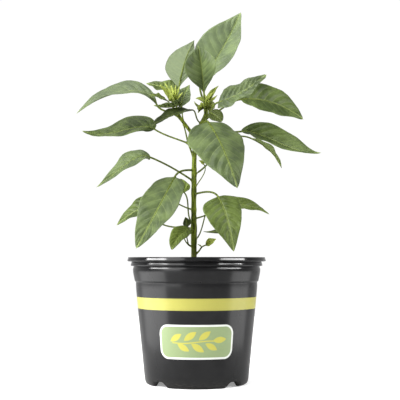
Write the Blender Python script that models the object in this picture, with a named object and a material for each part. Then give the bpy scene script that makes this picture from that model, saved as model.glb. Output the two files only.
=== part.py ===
"""A young chilli pepper plant in a round black nursery pot.

The row frame has its origin on the pot's axis, on the surface that the pot stands on, with +Z up
and -Y towards the side that carries the print. Every leaf is one loft that runs from the foot of
its petiole to the tip of its blade, and its foot meets a short peg on the stem.
"""

import math
import random
from dataclasses import dataclass

import bmesh
import bpy
from mathutils import Matrix, Vector

MM = 0.001
SEAT_GAP = 0.3 * MM

# Pot: driving sizes
POT_TOP = 102.6 * MM
LIP_RADIUS = 57.1 * MM
LIP_DROP = 2.8 * MM
WALL = 1.1 * MM
COLLAR_TOP_RADIUS = 54.2 * MM
UPPER_BEAD_Z = 96.2 * MM
LOWER_BEAD_Z = 85.4 * MM
COLLAR_FOOT_RADIUS = 51.2 * MM
BODY_TOP_Z = 83.6 * MM
BODY_TOP_RADIUS = 50.5 * MM
BODY_FOOT_Z = 6.0 * MM
BODY_FOOT_RADIUS = 42.7 * MM
BAND_TOP_Z = 70.4 * MM
BAND_FOOT_Z = 61.1 * MM
FLOOR_UNDER_Z = 5.0 * MM
FLOOR_TOP_Z = 6.2 * MM
FOOT_OUTER_RADIUS = 40.4 * MM
FOOT_INNER_RADIUS = 38.2 * MM
NOTCH_HEIGHT = 4.4 * MM
NOTCH_HALF_ANGLE = 12.5
NOTCH_CENTRES = (45.0, 135.0, 225.0, 315.0)
DRAIN_RADIUS = 4.0 * MM
DRAIN_RING_RADIUS = 29.0 * MM

# Soil and stem: driving sizes
SOIL_TOP_Z = 90.5 * MM
SOIL_ROUGHNESS = 0.9 * MM
SOIL_SEED = 11
SOIL_GAP = 0.45 * MM
STEM_X = -2.3 * MM
STEM_FOOT_Z = 62.0 * MM
STEM_HOLE_RADIUS = 2.8 * MM

# Leaves: driving sizes
BLADE_THICKNESS = 0.7 * MM
BLADE_STEPS = (0.0, 0.045, 0.11, 0.19, 0.28, 0.38, 0.49, 0.60, 0.71, 0.81, 0.90, 0.96, 1.0)
SMALL_BLADE_STEPS = (0.0, 0.08, 0.22, 0.40, 0.60, 0.80, 0.93, 1.0)
ACROSS = (-1.0, -0.5, 0.0, 0.5, 1.0)
PETIOLE_STEPS = 5
TIP_HALF_WIDTH = 0.35 * MM

COLOURS = {
    "black_plastic": ((0.030, 0.030, 0.032), 0.32),
    "yellow_print": ((0.78, 0.80, 0.12), 0.40),
    "potting_soil": ((0.055, 0.036, 0.024), 0.95),
    "stem_green": ((0.16, 0.24, 0.045), 0.50),
    "leaf_green": ((0.105, 0.205, 0.060), 0.42),
    "young_green": ((0.26, 0.40, 0.07), 0.45),
}


def mm(x, y, z):
    """A point that is given in millimetres."""
    return Vector((x, y, z)) * MM


def material(name):
    found = bpy.data.materials.get(name)
    if found:
        return found
    colour, roughness = COLOURS[name]
    made = bpy.data.materials.new(name)
    made.use_nodes = True
    shader = made.node_tree.nodes["Principled BSDF"]
    shader.inputs["Base Color"].default_value = (*colour, 1.0)
    shader.inputs["Roughness"].default_value = roughness
    made.diffuse_color = (*colour, 1.0)
    return made


def add_object(name, points, faces, material_name, smooth_angle=50.0):
    """One closed mesh as an object of its own, shaded smooth except at its sharp edges."""
    mesh = bpy.data.meshes.new(name)
    mesh.from_pydata([tuple(p) for p in points], [], faces)
    mesh.materials.append(material(material_name))
    mesh.shade_smooth()
    mesh.set_sharp_from_angle(angle=math.radians(smooth_angle))
    thing = bpy.data.objects.new(name, mesh)
    bpy.context.scene.collection.objects.link(thing)
    return thing


def applied(thing):
    """Turns the object's modifiers into its mesh."""
    graph = bpy.context.evaluated_depsgraph_get()
    mesh = bpy.data.meshes.new_from_object(thing.evaluated_get(graph))
    thing.modifiers.clear()
    thing.data = mesh
    return thing


def boolean(thing, others, operation, solver="EXACT"):
    """Joins or cuts thing with a list of objects, which are then removed."""
    group = bpy.data.collections.new(thing.name + "_pieces")
    for other in others:
        group.objects.link(other)
        bpy.context.scene.collection.objects.unlink(other)
    cut = thing.modifiers.new("join", "BOOLEAN")
    cut.operation = operation
    cut.solver = solver
    cut.operand_type = "COLLECTION"
    cut.collection = group
    applied(thing)
    for other in others:
        bpy.data.objects.remove(other)
    bpy.data.collections.remove(group)
    return thing


def clean_mesh(thing, within=0.001 * MM):
    """Merges the near-doubles that a Boolean leaves and splits what is left into triangles."""
    shape = bmesh.new()
    shape.from_mesh(thing.data)
    bmesh.ops.remove_doubles(shape, verts=shape.verts, dist=within)
    bmesh.ops.dissolve_degenerate(shape, edges=shape.edges, dist=within)
    bmesh.ops.triangulate(shape, faces=shape.faces)
    shape.to_mesh(thing.data)
    shape.free()
    return thing


# Curves

def bezier(points, t):
    """A point of the Bezier curve with these control points."""
    while len(points) > 1:
        points = [a.lerp(b, t) for a, b in zip(points, points[1:])]
    return points[0]


def bezier_through(places):
    """Control points of the Bezier curve that passes through three or four places, in millimetres."""
    points = [mm(*p) for p in places]
    a, b, c, d = points[0], points[1], points[-2], points[-1]
    if len(points) == 3:
        return [a, b * 2 - (a + d) / 2, d]
    return [a, (b * 18 - a * 5 - c * 9 + d * 2) / 6, (a * 2 - b * 9 + c * 18 - d * 5) / 6, d]


def smooth_line(points, t):
    """A point at t, from 0 to 1, of the Catmull-Rom curve through these points."""
    spans = len(points) - 1
    at = min(max(t, 0.0), 1.0) * spans
    i = min(int(at), spans - 1)
    u = at - i
    b, c = points[i], points[i + 1]
    a = points[i - 1] if i else b * 2 - c
    d = points[i + 2] if i + 2 <= spans else c * 2 - b
    return 0.5 * (2 * b + (c - a) * u + (2 * a - 5 * b + 4 * c - d) * u**2 + (3 * b - a - 3 * c + d) * u**3)


def mix(values, t):
    """The value at t, from 0 to 1, between evenly spaced values."""
    at = min(max(t, 0.0), 1.0) * (len(values) - 1)
    i = min(int(at), len(values) - 2)
    return values[i] + (values[i + 1] - values[i]) * (at - i)


# Lofts

def loft_faces(rings, around, same_split=None):
    """Triangles between rings of points, with a cap of short strips at each end.

    same_split marks the strips under a thin blade, which are split along the same diagonals as the
    strips over it.
    """
    faces = []
    for i in range(rings - 1):
        for j in range(around):
            k = (j + 1) % around
            a, b = i * around + j, i * around + k
            c, d = a + around, b + around
            if same_split and same_split[j]:
                faces += [(a, b, c), (b, d, c)]
            else:
                faces += [(a, b, d), (a, d, c)]
    last = (rings - 1) * around
    for j in range(around // 2 - 1):
        a, b, c, d = j, j + 1, around - 2 - j, around - 1 - j
        faces += [(a, c, b), (a, d, c), (last + a, last + b, last + c), (last + a, last + c, last + d)]
    return [tuple(dict.fromkeys(f)) for f in faces if len(set(f)) == 3]


def tube(name, line, radii, sides, steps, material_name="stem_green"):
    """A tapered tube along a smooth line."""
    points = []
    side = None
    for i in range(steps):
        t = i / (steps - 1)
        centre = smooth_line(line, t)
        ahead = (smooth_line(line, t + 0.01) - smooth_line(line, t - 0.01)).normalized()
        if side is None:
            side = ahead.orthogonal().normalized()
        side = (side - ahead * side.dot(ahead)).normalized()
        up = ahead.cross(side)
        radius = mix(radii, t)
        for j in range(sides):
            angle = 2 * math.pi * j / sides
            points.append(centre + (side * math.cos(angle) + up * math.sin(angle)) * radius)
    return add_object(name, points, loft_faces(steps, sides), material_name)


# Stems: each is a line of points in millimetres with the radius at evenly spaced places

STEMS = {
    "main": (
        [(-2.3, 0, 62), (-2.3, 0, 90), (-2.3, 0, 118), (-2.4, 0, 145), (-2.2, 0, 170), (-1.9, 0, 188), (-0.9, 0.3, 204),
         (2.0, 2.0, 210), (5.0, 3.2, 216), (7.6, 4.0, 222), (8.2, 4.2, 228)],
        [2.0, 2.35, 2.25, 2.1, 2.0, 1.95, 2.1, 1.8, 1.7, 1.55, 1.3],
    ),
    "left": (
        [(-0.9, 0, 200), (-5, -1.4, 207), (-10, -3.4, 213.5), (-15, -5.2, 220), (-18, -6.4, 226.5)],
        [1.6, 1.5, 1.45, 1.4, 1.2],
    ),
    "side": (
        [(-2.2, 0, 183), (-4.2, 2.6, 190), (-7.4, 5.0, 199.5), (-9.6, 7.4, 209), (-12.0, 10.0, 219)],
        [0.9, 0.8, 0.75, 0.65, 0.6],
    ),
}
STEM_SIDES = {"main": 8, "left": 8, "side": 6}
STEM_STEPS = {"main": 22, "left": 8, "side": 8}


def stem_line(stem):
    return [mm(*p) for p in STEMS[stem][0]]


def on_stem(stem, height):
    """The point of the stem's centre line at a height, its direction and its radius there."""
    line = stem_line(stem)
    low, high = 0.0, 1.0
    for _ in range(40):
        middle = (low + high) / 2
        if smooth_line(line, middle).z < height:
            low = middle
        else:
            high = middle
    ahead = smooth_line(line, low + 0.01) - smooth_line(line, low - 0.01)
    return smooth_line(line, low), ahead.normalized(), mix(STEMS[stem][1], low) * MM


# Leaves

@dataclass
class Leaf:
    """One leaf: where it grows, the line of its midrib and the form of its blade, in millimetres.

    The midrib passes through three or four points, evenly spaced from the blade's base to its tip.
    A skew above zero makes the half on the frame's side wider than the other.
    """

    name: str
    stem: str
    node: float
    leave: tuple
    midrib: tuple
    width: float
    face: tuple
    fold: float = 14.0
    twist: float = 0.0
    skew: float = 0.0
    wave: float = 0.8
    curl: float = 0.0
    widest: float = 0.36
    fullness: float = 1.0
    petiole: float = 0.8
    small: bool = False

    def peg(self):
        """The centre line of the peg on the stem, from inside the stem to its free end."""
        start, along, radius = on_stem(self.stem, self.node * MM)
        way = Vector(self.leave).normalized()
        across = max(way.cross(along).length, 0.2)
        reach = radius + 0.6 * MM + self.petiole * MM * abs(way.dot(along))
        return start, start + way * (reach / across)

    def peg_radius(self):
        return (self.petiole * 1.25 + 0.1) * MM

    def petiole_line(self):
        """The four control points of the petiole, which leaves the peg straight on."""
        _, end = self.peg()
        way = Vector(self.leave).normalized()
        foot = end + way * SEAT_GAP
        base = mm(*self.midrib[0])
        third = (base - foot).length / 3
        ahead = (bezier_through(self.midrib)[1] - base).normalized()
        return [foot, foot + way * third, base - ahead * third, base]

    def frame(self, t):
        """Centre, side and normal of the blade at t, from 0 at its base to 1 at its tip."""
        line = bezier_through(self.midrib)
        centre = bezier(line, t)
        ahead = (bezier(line, min(t + 0.01, 1.0)) - bezier(line, max(t - 0.01, 0.0))).normalized()
        chord = (line[-1] - line[0]).normalized()
        turn = Matrix.Rotation(math.radians(self.twist) * (t - 0.4), 3, chord)
        normal = turn @ Vector(self.face)
        normal = (normal - ahead * normal.dot(ahead)).normalized()
        return centre, ahead.cross(normal), normal

    def half_width(self, t):
        power = math.log(0.5) / math.log(self.widest)
        shape = max(math.sin(math.pi * t**power), 0.0) ** self.fullness
        least = self.petiole * MM * (1 - t) + TIP_HALF_WIDTH * t
        return math.hypot(self.width * MM / 2 * shape, least)

    def blade_ring(self, t):
        """The points of one cross-section of the blade: over its face, then back under it."""
        centre, side, normal = self.frame(t)
        half = self.half_width(t)
        fold = math.radians(self.fold) * min(1.0, t * 8, (1 - t) * 6 + 0.3)
        rib = self.petiole * MM * 0.9 * (1 - t) ** 1.2
        over, under = [], []
        for s in ACROSS:
            wave = self.wave * MM * s * s * math.sin(t * 15 + (1.3 if s > 0 else 3.9)) * math.sin(math.pi * t)
            out = half * abs(s) * (1 + math.copysign(self.skew, s))
            lift = out * math.sin(fold) - self.curl * half * s * s + wave
            middle = centre + side * math.copysign(out * math.cos(fold), s) + normal * lift
            tilt = fold * ((s > 0) - (s < 0))
            up = normal * math.cos(tilt) - side * math.sin(tilt)
            over.append(middle + up * BLADE_THICKNESS / 2)
            under.append(middle - up * (BLADE_THICKNESS / 2 + (rib if s == 0 else 0.0)))
        return over + under[::-1]

    def petiole_ring(self, t):
        line = self.petiole_line()
        centre = bezier(line, t)
        ahead = (bezier(line, min(t + 0.02, 1)) - bezier(line, max(t - 0.02, 0))).normalized()
        _, _, normal = self.frame(0.0)
        normal = (normal - ahead * normal.dot(ahead)).normalized()
        side = ahead.cross(normal)
        radius = self.petiole * MM * (1.12 - 0.12 * min(1, t * 4))
        ring = []
        count = 2 * len(ACROSS)
        for j in range(count):
            angle = math.pi * (1 - (2 * j + 1) / count)
            ring.append(centre + (side * math.cos(angle) + normal * math.sin(angle)) * radius)
        return ring

    def build(self, material_name="leaf_green"):
        steps = SMALL_BLADE_STEPS if self.small else BLADE_STEPS
        petiole_steps = 4 if self.small else PETIOLE_STEPS
        rings = [self.petiole_ring(i / petiole_steps) for i in range(petiole_steps)]
        rings += [self.blade_ring(t) for t in steps]
        points = [p for ring in rings for p in ring]
        around = 2 * len(ACROSS)
        upper = len(ACROSS) - 1
        same_split = [j > upper for j in range(around)]
        return add_object(self.name, points, loft_faces(len(rings), around, same_split), material_name)


LEAVES = [
    Leaf("leaf_top_back", "main", 224.0, (0.05, 0.75, 0.65),
         ((4.1, 10, 252.9), (23.0, 18, 283.3), (38.3, 20, 314.4)), 41,
         (-0.30, -0.92, 0.25), fold=26, twist=-8, skew=-0.04, widest=0.42, petiole=0.85),
    Leaf("leaf_top_front", "main", 221.5, (-0.15, -0.75, 0.62),
         ((6.1, -7, 238.2), (4.2, -12, 258.5), (1.2, -9, 278.5)), 34,
         (0.12, -0.97, 0.12), fold=32, twist=8, widest=0.50, fullness=1.5),
    Leaf("leaf_top_left", "left", 224.5, (0.10, 0.85, 0.50),
         ((-14.9, 6, 245.7), (-9.6, 10, 269.6), (-1.9, 13, 288.2)), 30,
         (0.35, 0.85, -0.30), fold=10, twist=10, skew=0.36, widest=0.44, fullness=1.3, petiole=0.75),
    Leaf("leaf_right_crinkled", "main", 217.0, (0.80, -0.50, 0.35),
         ((17.6, -13, 229.6), (37.2, -22, 236.6), (56.4, -30, 249.3)), 26,
         (-0.25, -0.70, 0.66), fold=10, wave=1.5, widest=0.26, fullness=0.55, petiole=0.75),
    Leaf("leaf_right_dark", "main", 219.5, (0.75, 0.60, 0.30),
         ((37.2, 20, 238.0), (65.6, 31, 237.4), (93.9, 40, 223.9)), 34,
         (0.16, -0.84, 0.52), fold=12, twist=-10, widest=0.44, fullness=0.80),
    Leaf("leaf_right_long", "main", 209.5, (0.85, 0.45, -0.10),
         ((37.1, 8, 208.6), (57.7, 8, 204.0), (80.2, -2, 192.6), (102.5, -12, 188.3)), 31,
         (0.05, -0.70, 0.72), fold=26, twist=-8, skew=0.10, widest=0.41, fullness=1.1),
    Leaf("leaf_right_hanging", "main", 171.0, (0.72, 0.42, 0.50),
         ((46.9, 42.5, 207.9), (64.2, 49.5, 198.2), (75.8, 53.5, 181.9)), 20,
         (0.64, 0.10, 0.76), fold=10, petiole=0.7),
    Leaf("leaf_front_broad", "main", 202.0, (0.20, -0.90, 0.35),
         ((9.4, -20, 212.4), (21.2, -42, 187.6), (31.7, -54, 155.4)), 46.5,
         (0.14, -0.80, 0.58), fold=-10, skew=0.02, widest=0.29, fullness=0.82, wave=1.2, petiole=0.95),
    Leaf("leaf_left_arched", "left", 219.5, (-0.88, -0.10, 0.40),
         ((-32.8, -8, 228.4), (-48.6, -8, 239.7), (-74.0, -2, 237.6), (-101.6, 5, 223.1)), 26,
         (-0.05, -0.58, 0.81), fold=18, twist=6, widest=0.54, fullness=1.05),
    Leaf("leaf_cluster_back", "side", 214.0, (-0.15, 0.45, 0.88),
         ((-17.7, 14, 243.4), (-29.9, 20, 248.6), (-44.0, 25, 253.1)), 23,
         (0.15, -0.62, 0.76), fold=14, petiole=0.55),
    Leaf("leaf_cluster_right", "left", 221.0, (0.85, -0.20, 0.48),
         ((-13.2, -4.5, 227.8), (-10.8, -1, 237.4), (-5.8, 2, 247.5)), 15,
         (-0.25, -0.95, 0.15), fold=14, petiole=0.55, small=True),
    Leaf("leaf_cluster_front", "left", 223.5, (0.10, -0.95, 0.28),
         ((-12.4, -15, 229.2), (-23.2, -20, 224.6), (-34.9, -26, 225.0)), 17,
         (-0.15, -0.05, 0.98), fold=24, petiole=0.6),
    Leaf("leaf_under_cluster", "main", 214.5, (-0.80, -0.45, 0.40),
         ((-4.0, -12, 223.5), (-19.0, -25, 217.4), (-35.6, -37, 206.4)), 19,
         (0.00, -0.34, 0.94), fold=16, fullness=0.80, petiole=0.6),
    Leaf("leaf_cluster_left", "left", 225.0, (-0.75, -0.50, 0.40),
         ((-24.4, -12, 231.4), (-31.1, -18, 233.2), (-37.9, -21, 234.6)), 10,
         (0.10, -0.60, 0.79), fold=16, petiole=0.5, small=True),
    Leaf("leaf_left_long", "side", 198.0, (-0.80, 0.40, 0.38),
         ((-35.4, 13, 211.0), (-53.6, 17, 212.9), (-76.1, 20, 208.2), (-98.8, 20, 211.2)), 30,
         (0.02, -0.62, 0.78), fold=14, twist=14, petiole=0.7, fullness=0.9),
    Leaf("leaf_left_drooping", "main", 165.5, (-0.80, -0.30, 0.52),
         ((-37.1, -17, 183.6), (-49.4, -22, 182.6), (-62.2, -27, 172.4), (-80.0, -32, 157.8)), 25,
         (-0.30, -0.60, 0.74), fold=12, twist=6, skew=-0.1, petiole=0.75),
    Leaf("leaf_left_broad", "main", 175.0, (-0.70, -0.66, -0.05),
         ((-17.5, -18, 168.0), (-32.0, -38, 137.6), (-46.5, -52, 109.0)), 33,
         (-0.22, -0.84, 0.48), fold=10, twist=-4, wave=1.0, petiole=0.85, widest=0.33, fullness=0.82),
    Leaf("leaf_left_pale", "main", 129.0, (-0.55, -0.45, 0.75),
         ((-10.2, -2, 156.0), (-19.8, 5, 162.2), (-32.2, 14, 162.9)), 20,
         (0.30, -0.80, 0.52), fold=10, widest=0.28, fullness=0.62, petiole=0.6),
    Leaf("leaf_left_low", "main", 142.0, (-0.85, 0.40, 0.20),
         ((-30.9, 10, 150.4), (-50.1, 15, 142.6), (-68.2, 18, 129.6)), 25,
         (-0.28, -0.62, 0.74), fold=12, petiole=0.6),
    Leaf("leaf_small_front", "main", 124.0, (-0.30, -0.90, 0.25),
         ((-5.0, -8, 125.1), (-13.9, -14, 120.4), (-20.0, -18, 108.4)), 16,
         (-0.32, -0.82, 0.45), fold=12, wave=0.4, petiole=0.55, widest=0.40, fullness=0.72, small=True),
    Leaf("leaf_left_back", "main", 126.5, (-0.80, 0.55, 0.10),
         ((-30.3, 18, 131.3), (-40.2, 27, 133.8), (-51.1, 36, 129.8)), 17,
         (-0.20, -0.20, 0.95), fold=14, petiole=0.65),
    Leaf("leaf_small_upright", "main", 120.0, (-0.55, -0.50, 0.70),
         ((-7.2, -3.4, 127.9), (-8.4, -4.5, 131.8), (-9.2, -4.8, 135.8)), 8,
         (0.35, -0.90, 0.10), fold=14, wave=0.2, petiole=0.4, small=True),
    Leaf("leaf_right_broad", "main", 154.8, (0.60, -0.78, 0.10),
         ((17.2, -22, 151.6), (24.2, -32, 134.0), (29.4, -38, 106.6)), 31,
         (0.10, -0.90, 0.38), fold=7, skew=0.14, widest=0.34, fullness=0.90, wave=1.0, petiole=0.8),
    Leaf("leaf_right_low", "main", 134.5, (0.80, 0.50, 0.20),
         ((14, 11, 141), (38, 20, 147), (62.6, 26, 139.4)), 23,
         (0.10, -0.60, 0.79), fold=14, twist=-8, petiole=0.65),
    Leaf("leaf_right_curled", "main", 115.5, (0.62, 0.42, 0.66),
         ((13.9, 19, 143.2), (21.5, 18, 127.5), (5.3, 9, 124.2)), 9,
         (0.75, -0.25, 0.60), fold=8, wave=0.3, petiole=0.55, small=True),
    Leaf("leaf_right_round", "main", 213.5, (0.75, -0.62, 0.20),
         ((10.3, -8, 222.5), (15.6, -11, 218.8), (20.6, -14, 213.4)), 12.5,
         (0.15, -0.92, 0.30), fold=12, wave=0.2, widest=0.48, fullness=0.60, petiole=0.5, small=True),
    Leaf("leaf_axil", "main", 158.5, (0.50, -0.35, 0.80),
         ((6.1, -5, 179.2), (4.1, -6, 181.1), (1.8, -7, 182.3)), 3.4,
         (0.30, -0.85, 0.40), fold=12, wave=0.1, petiole=0.4, small=True),
]


# Young growth: shoots that are fused into one body each

@dataclass
class Sprout:
    """A small young leaf or stalk of a shoot, in millimetres."""

    start: tuple
    via: tuple
    tip: tuple
    width: float
    face: tuple
    thick: float = 0.7
    fold: float = 20.0


SPROUT_STEPS = (0.0, 0.18, 0.40, 0.65, 0.86, 1.0)


def sprout(name, piece):
    """A young leaf as a loft of six-sided rings."""
    line = bezier_through((piece.start, piece.via, piece.tip))
    points = []
    for t in SPROUT_STEPS:
        centre = bezier(line, t)
        ahead = (bezier(line, min(t + 0.01, 1.0)) - bezier(line, max(t - 0.01, 0.0))).normalized()
        normal = Vector(piece.face)
        normal = (normal - ahead * normal.dot(ahead)).normalized()
        side = ahead.cross(normal)
        half = math.hypot(piece.width / 2 * max(math.sin(math.pi * (0.12 + 0.88 * t) ** 0.75), 0) ** 1.1, 0.4) * MM
        fold = math.radians(piece.fold)
        thick = piece.thick * MM / 2
        for s in (-1, 0, 1):
            out = side * (s * half * math.cos(fold)) + normal * (abs(s) * half * math.sin(fold))
            points.append(centre + out + normal * thick)
        for s in (1, 0, -1):
            out = side * (s * half * math.cos(fold)) + normal * (abs(s) * half * math.sin(fold))
            points.append(centre + out - normal * thick)
    same_split = [j > 2 for j in range(6)]
    return add_object(name, points, loft_faces(len(SPROUT_STEPS), 6, same_split), "young_green")


def bud(name, centre, radius, stretch=1.3):
    """A small closed flower bud."""
    shape = bmesh.new()
    bmesh.ops.create_uvsphere(shape, u_segments=7, v_segments=5, radius=radius * MM)
    bmesh.ops.scale(shape, vec=(1, 1, stretch), verts=shape.verts)
    bmesh.ops.translate(shape, vec=mm(*centre), verts=shape.verts)
    mesh = bpy.data.meshes.new(name)
    shape.to_mesh(mesh)
    shape.free()
    mesh.materials.append(material("young_green"))
    thing = bpy.data.objects.new(name, mesh)
    bpy.context.scene.collection.objects.link(thing)
    return thing


def shoot(name, core, core_radius, sprouts, buds):
    """A shoot tip: a core, which sits on its branch, with young leaves and buds fused to it."""
    body = bud(name, core, core_radius, 1.2)
    pieces = [sprout(f"{name}_leaf_{i}", piece) for i, piece in enumerate(sprouts)]
    pieces += [bud(f"{name}_bud_{i}", centre, radius) for i, (centre, radius) in enumerate(buds)]
    boolean(body, pieces, "UNION")
    clean_mesh(body)
    body.data.shade_smooth()
    body.data.set_sharp_from_angle(angle=math.radians(50))
    return body


# Pot

def body_radius(z):
    """Outer radius of the pot's tapered body at a height."""
    share = (z - BODY_FOOT_Z) / (BODY_TOP_Z - BODY_FOOT_Z)
    return BODY_FOOT_RADIUS + (BODY_TOP_RADIUS - BODY_FOOT_RADIUS) * share


def pot_profile():
    """(radius, height) round the wall, from the centre of the floor's underside, out and up, and back inside."""
    outside = [
        (FOOT_INNER_RADIUS - 0.4 * MM, FLOOR_UNDER_Z),
        (FOOT_INNER_RADIUS, FLOOR_UNDER_Z - 0.5 * MM),
        (FOOT_INNER_RADIUS, 0.0),
        (FOOT_OUTER_RADIUS, 0.0),
        (FOOT_OUTER_RADIUS + 1.2 * MM, 0.9 * MM),
        (BODY_FOOT_RADIUS - 0.4 * MM, 2.8 * MM),
        (BODY_FOOT_RADIUS, BODY_FOOT_Z),
        (body_radius(BAND_FOOT_Z), BAND_FOOT_Z),
        (body_radius(BAND_TOP_Z), BAND_TOP_Z),
        (BODY_TOP_RADIUS, BODY_TOP_Z),
        (COLLAR_FOOT_RADIUS, LOWER_BEAD_Z - 0.9 * MM),
        (COLLAR_FOOT_RADIUS + 0.1 * MM, LOWER_BEAD_Z),
        (COLLAR_TOP_RADIUS - 1.4 * MM, UPPER_BEAD_Z - 1.2 * MM),
        (COLLAR_TOP_RADIUS - 0.4 * MM, UPPER_BEAD_Z),
        (COLLAR_TOP_RADIUS, POT_TOP - LIP_DROP - 0.7 * MM),
        (LIP_RADIUS - 0.7 * MM, POT_TOP - LIP_DROP - 0.4 * MM),
        (LIP_RADIUS, POT_TOP - LIP_DROP),
        (LIP_RADIUS - 1.0 * MM, POT_TOP - 1.0 * MM),
        (LIP_RADIUS - 2.6 * MM, POT_TOP),
    ]
    return outside + inner_profile()[::-1]


def inner_profile(gap=0.0):
    """(radius, height) up the inside of the wall, moved inwards by gap."""
    return [
        (body_radius(FLOOR_TOP_Z) - WALL - gap, FLOOR_TOP_Z + gap),
        (BODY_TOP_RADIUS - WALL - gap, BODY_TOP_Z),
        (COLLAR_FOOT_RADIUS - WALL - gap, LOWER_BEAD_Z),
        (COLLAR_TOP_RADIUS - 1.4 * MM - WALL - gap, UPPER_BEAD_Z - 1.2 * MM),
        (COLLAR_TOP_RADIUS - WALL - gap, POT_TOP - 0.5 * MM),
    ]


def notch_lift(angle):
    """How far the foot's lower edge rises at an angle in degrees, in the arch of a notch."""
    nearest = min(abs((angle - centre + 180) % 360 - 180) for centre in NOTCH_CENTRES)
    if nearest >= NOTCH_HALF_ANGLE:
        return 0.0
    share = nearest / NOTCH_HALF_ANGLE
    return NOTCH_HEIGHT * (0.5 + 0.5 * math.cos(math.pi * max(0.0, (share - 0.25) / 0.75)))


def pot_angles():
    """Angles round the pot, closer together across the notches."""
    angles = []
    for centre in NOTCH_CENTRES:
        angles += [centre + NOTCH_HALF_ANGLE * share for share in (-1.0, -0.7, -0.4, 0.0, 0.4, 0.7, 1.0)]
        angles += [centre + NOTCH_HALF_ANGLE + (90 - 2 * NOTCH_HALF_ANGLE) * k / 6 for k in range(1, 6)]
    return sorted(a % 360 for a in angles)


def build_pot():
    profile = pot_profile()
    angles = pot_angles()
    rows = len(profile)
    points = []
    for angle in angles:
        lift = notch_lift(angle)
        turn = math.radians(angle)
        for radius, z in profile:
            if z < BODY_FOOT_Z - 1e-9 and radius > FOOT_INNER_RADIUS - 1e-9:
                z = min(z + lift * (1 - z / BODY_FOOT_Z), max(z, NOTCH_HEIGHT + z * 0.1))
                if radius < FOOT_INNER_RADIUS + 1e-9:
                    z = min(z, FLOOR_UNDER_Z - 0.3 * MM)
            points.append(Vector((radius * math.cos(turn), radius * math.sin(turn), z)))
    under, over = len(points), len(points) + 1
    points += [Vector((0, 0, FLOOR_UNDER_Z)), Vector((0, 0, FLOOR_TOP_Z))]
    faces = []
    count = len(angles)
    for i in range(count):
        here, there = i * rows, (i + 1) % count * rows
        for j in range(rows - 1):
            faces.append((here + j, there + j, there + j + 1, here + j + 1))
        faces.append((under, there, here))
        faces.append((over, here + rows - 1, there + rows - 1))
    pot = add_object("pot", points, faces, "black_plastic", 35.0)
    drains = [(0.0, 0.0)]
    for centre in NOTCH_CENTRES:
        turn = math.radians(centre)
        drains.append((DRAIN_RING_RADIUS * math.cos(turn), DRAIN_RING_RADIUS * math.sin(turn)))
    cutters = []
    for i, (x, y) in enumerate(drains):
        shape = bmesh.new()
        bmesh.ops.create_cone(
            shape, cap_ends=True, segments=12, radius1=DRAIN_RADIUS, radius2=DRAIN_RADIUS, depth=8 * MM
        )
        bmesh.ops.translate(shape, vec=(x, y, FLOOR_TOP_Z), verts=shape.verts)
        mesh = bpy.data.meshes.new(f"drain_{i}")
        shape.to_mesh(mesh)
        shape.free()
        cutter = bpy.data.objects.new(f"drain_{i}", mesh)
        bpy.context.scene.collection.objects.link(cutter)
        cutters.append(cutter)
    boolean(pot, cutters, "DIFFERENCE")
    print_band(pot)
    return pot


def print_band(pot):
    """Gives the faces of the printed stripe their own material."""
    pot.data.materials.append(material("yellow_print"))
    for face in pot.data.polygons:
        middle = face.center
        outside = math.hypot(middle.x, middle.y) > body_radius(middle.z) - WALL / 2
        if outside and BAND_FOOT_Z < middle.z < BAND_TOP_Z:
            face.material_index = 1


# Soil

def build_soil():
    """Potting mix that fills the pot, with a rough top and a plain hole for the stem."""
    draw = random.Random(SOIL_SEED)
    sides = 32
    wall = inner_profile(SOIL_GAP)
    (foot_radius, foot_z), (shoulder_radius, shoulder_z), (bead_radius, bead_z), (top_radius, top_z) = wall[:4]
    share = (SOIL_TOP_Z - 1.5 * MM - bead_z) / (top_z - bead_z)
    edge_radius = bead_radius + (top_radius - bead_radius) * share
    rows = [
        (STEM_HOLE_RADIUS, STEM_FOOT_Z - SEAT_GAP, 0.0),
        (STEM_HOLE_RADIUS, SOIL_TOP_Z + 0.6 * MM, 0.0),
        (6 * MM, SOIL_TOP_Z + 0.8 * MM, 0.6),
        (11 * MM, SOIL_TOP_Z, 1.0),
        (17 * MM, SOIL_TOP_Z, 1.0),
        (23 * MM, SOIL_TOP_Z, 1.0),
        (29 * MM, SOIL_TOP_Z, 1.0),
        (35 * MM, SOIL_TOP_Z, 1.0),
        (41 * MM, SOIL_TOP_Z, 1.0),
        (46 * MM, SOIL_TOP_Z - 0.4 * MM, 1.0),
        (edge_radius, SOIL_TOP_Z - 1.5 * MM, 0.0),
        (bead_radius, bead_z, 0.0),
        (shoulder_radius, shoulder_z, 0.0),
        (foot_radius, foot_z, 0.0),
    ]
    points = []
    for radius, z, rough in rows:
        off = STEM_X * (1 - min(1.0, max(0.0, (radius - STEM_HOLE_RADIUS) / (40 * MM))))
        for j in range(sides):
            turn = 2 * math.pi * j / sides
            bump = rough * SOIL_ROUGHNESS * draw.uniform(-1, 1)
            points.append(Vector((off + radius * math.cos(turn), radius * math.sin(turn), z + bump)))
    faces = [tuple(reversed(f)) for f in loft_faces(len(rows), sides)]
    return add_object("soil", points, faces, "potting_soil", 60.0)


# Stem with the pegs that carry the leaves

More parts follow.
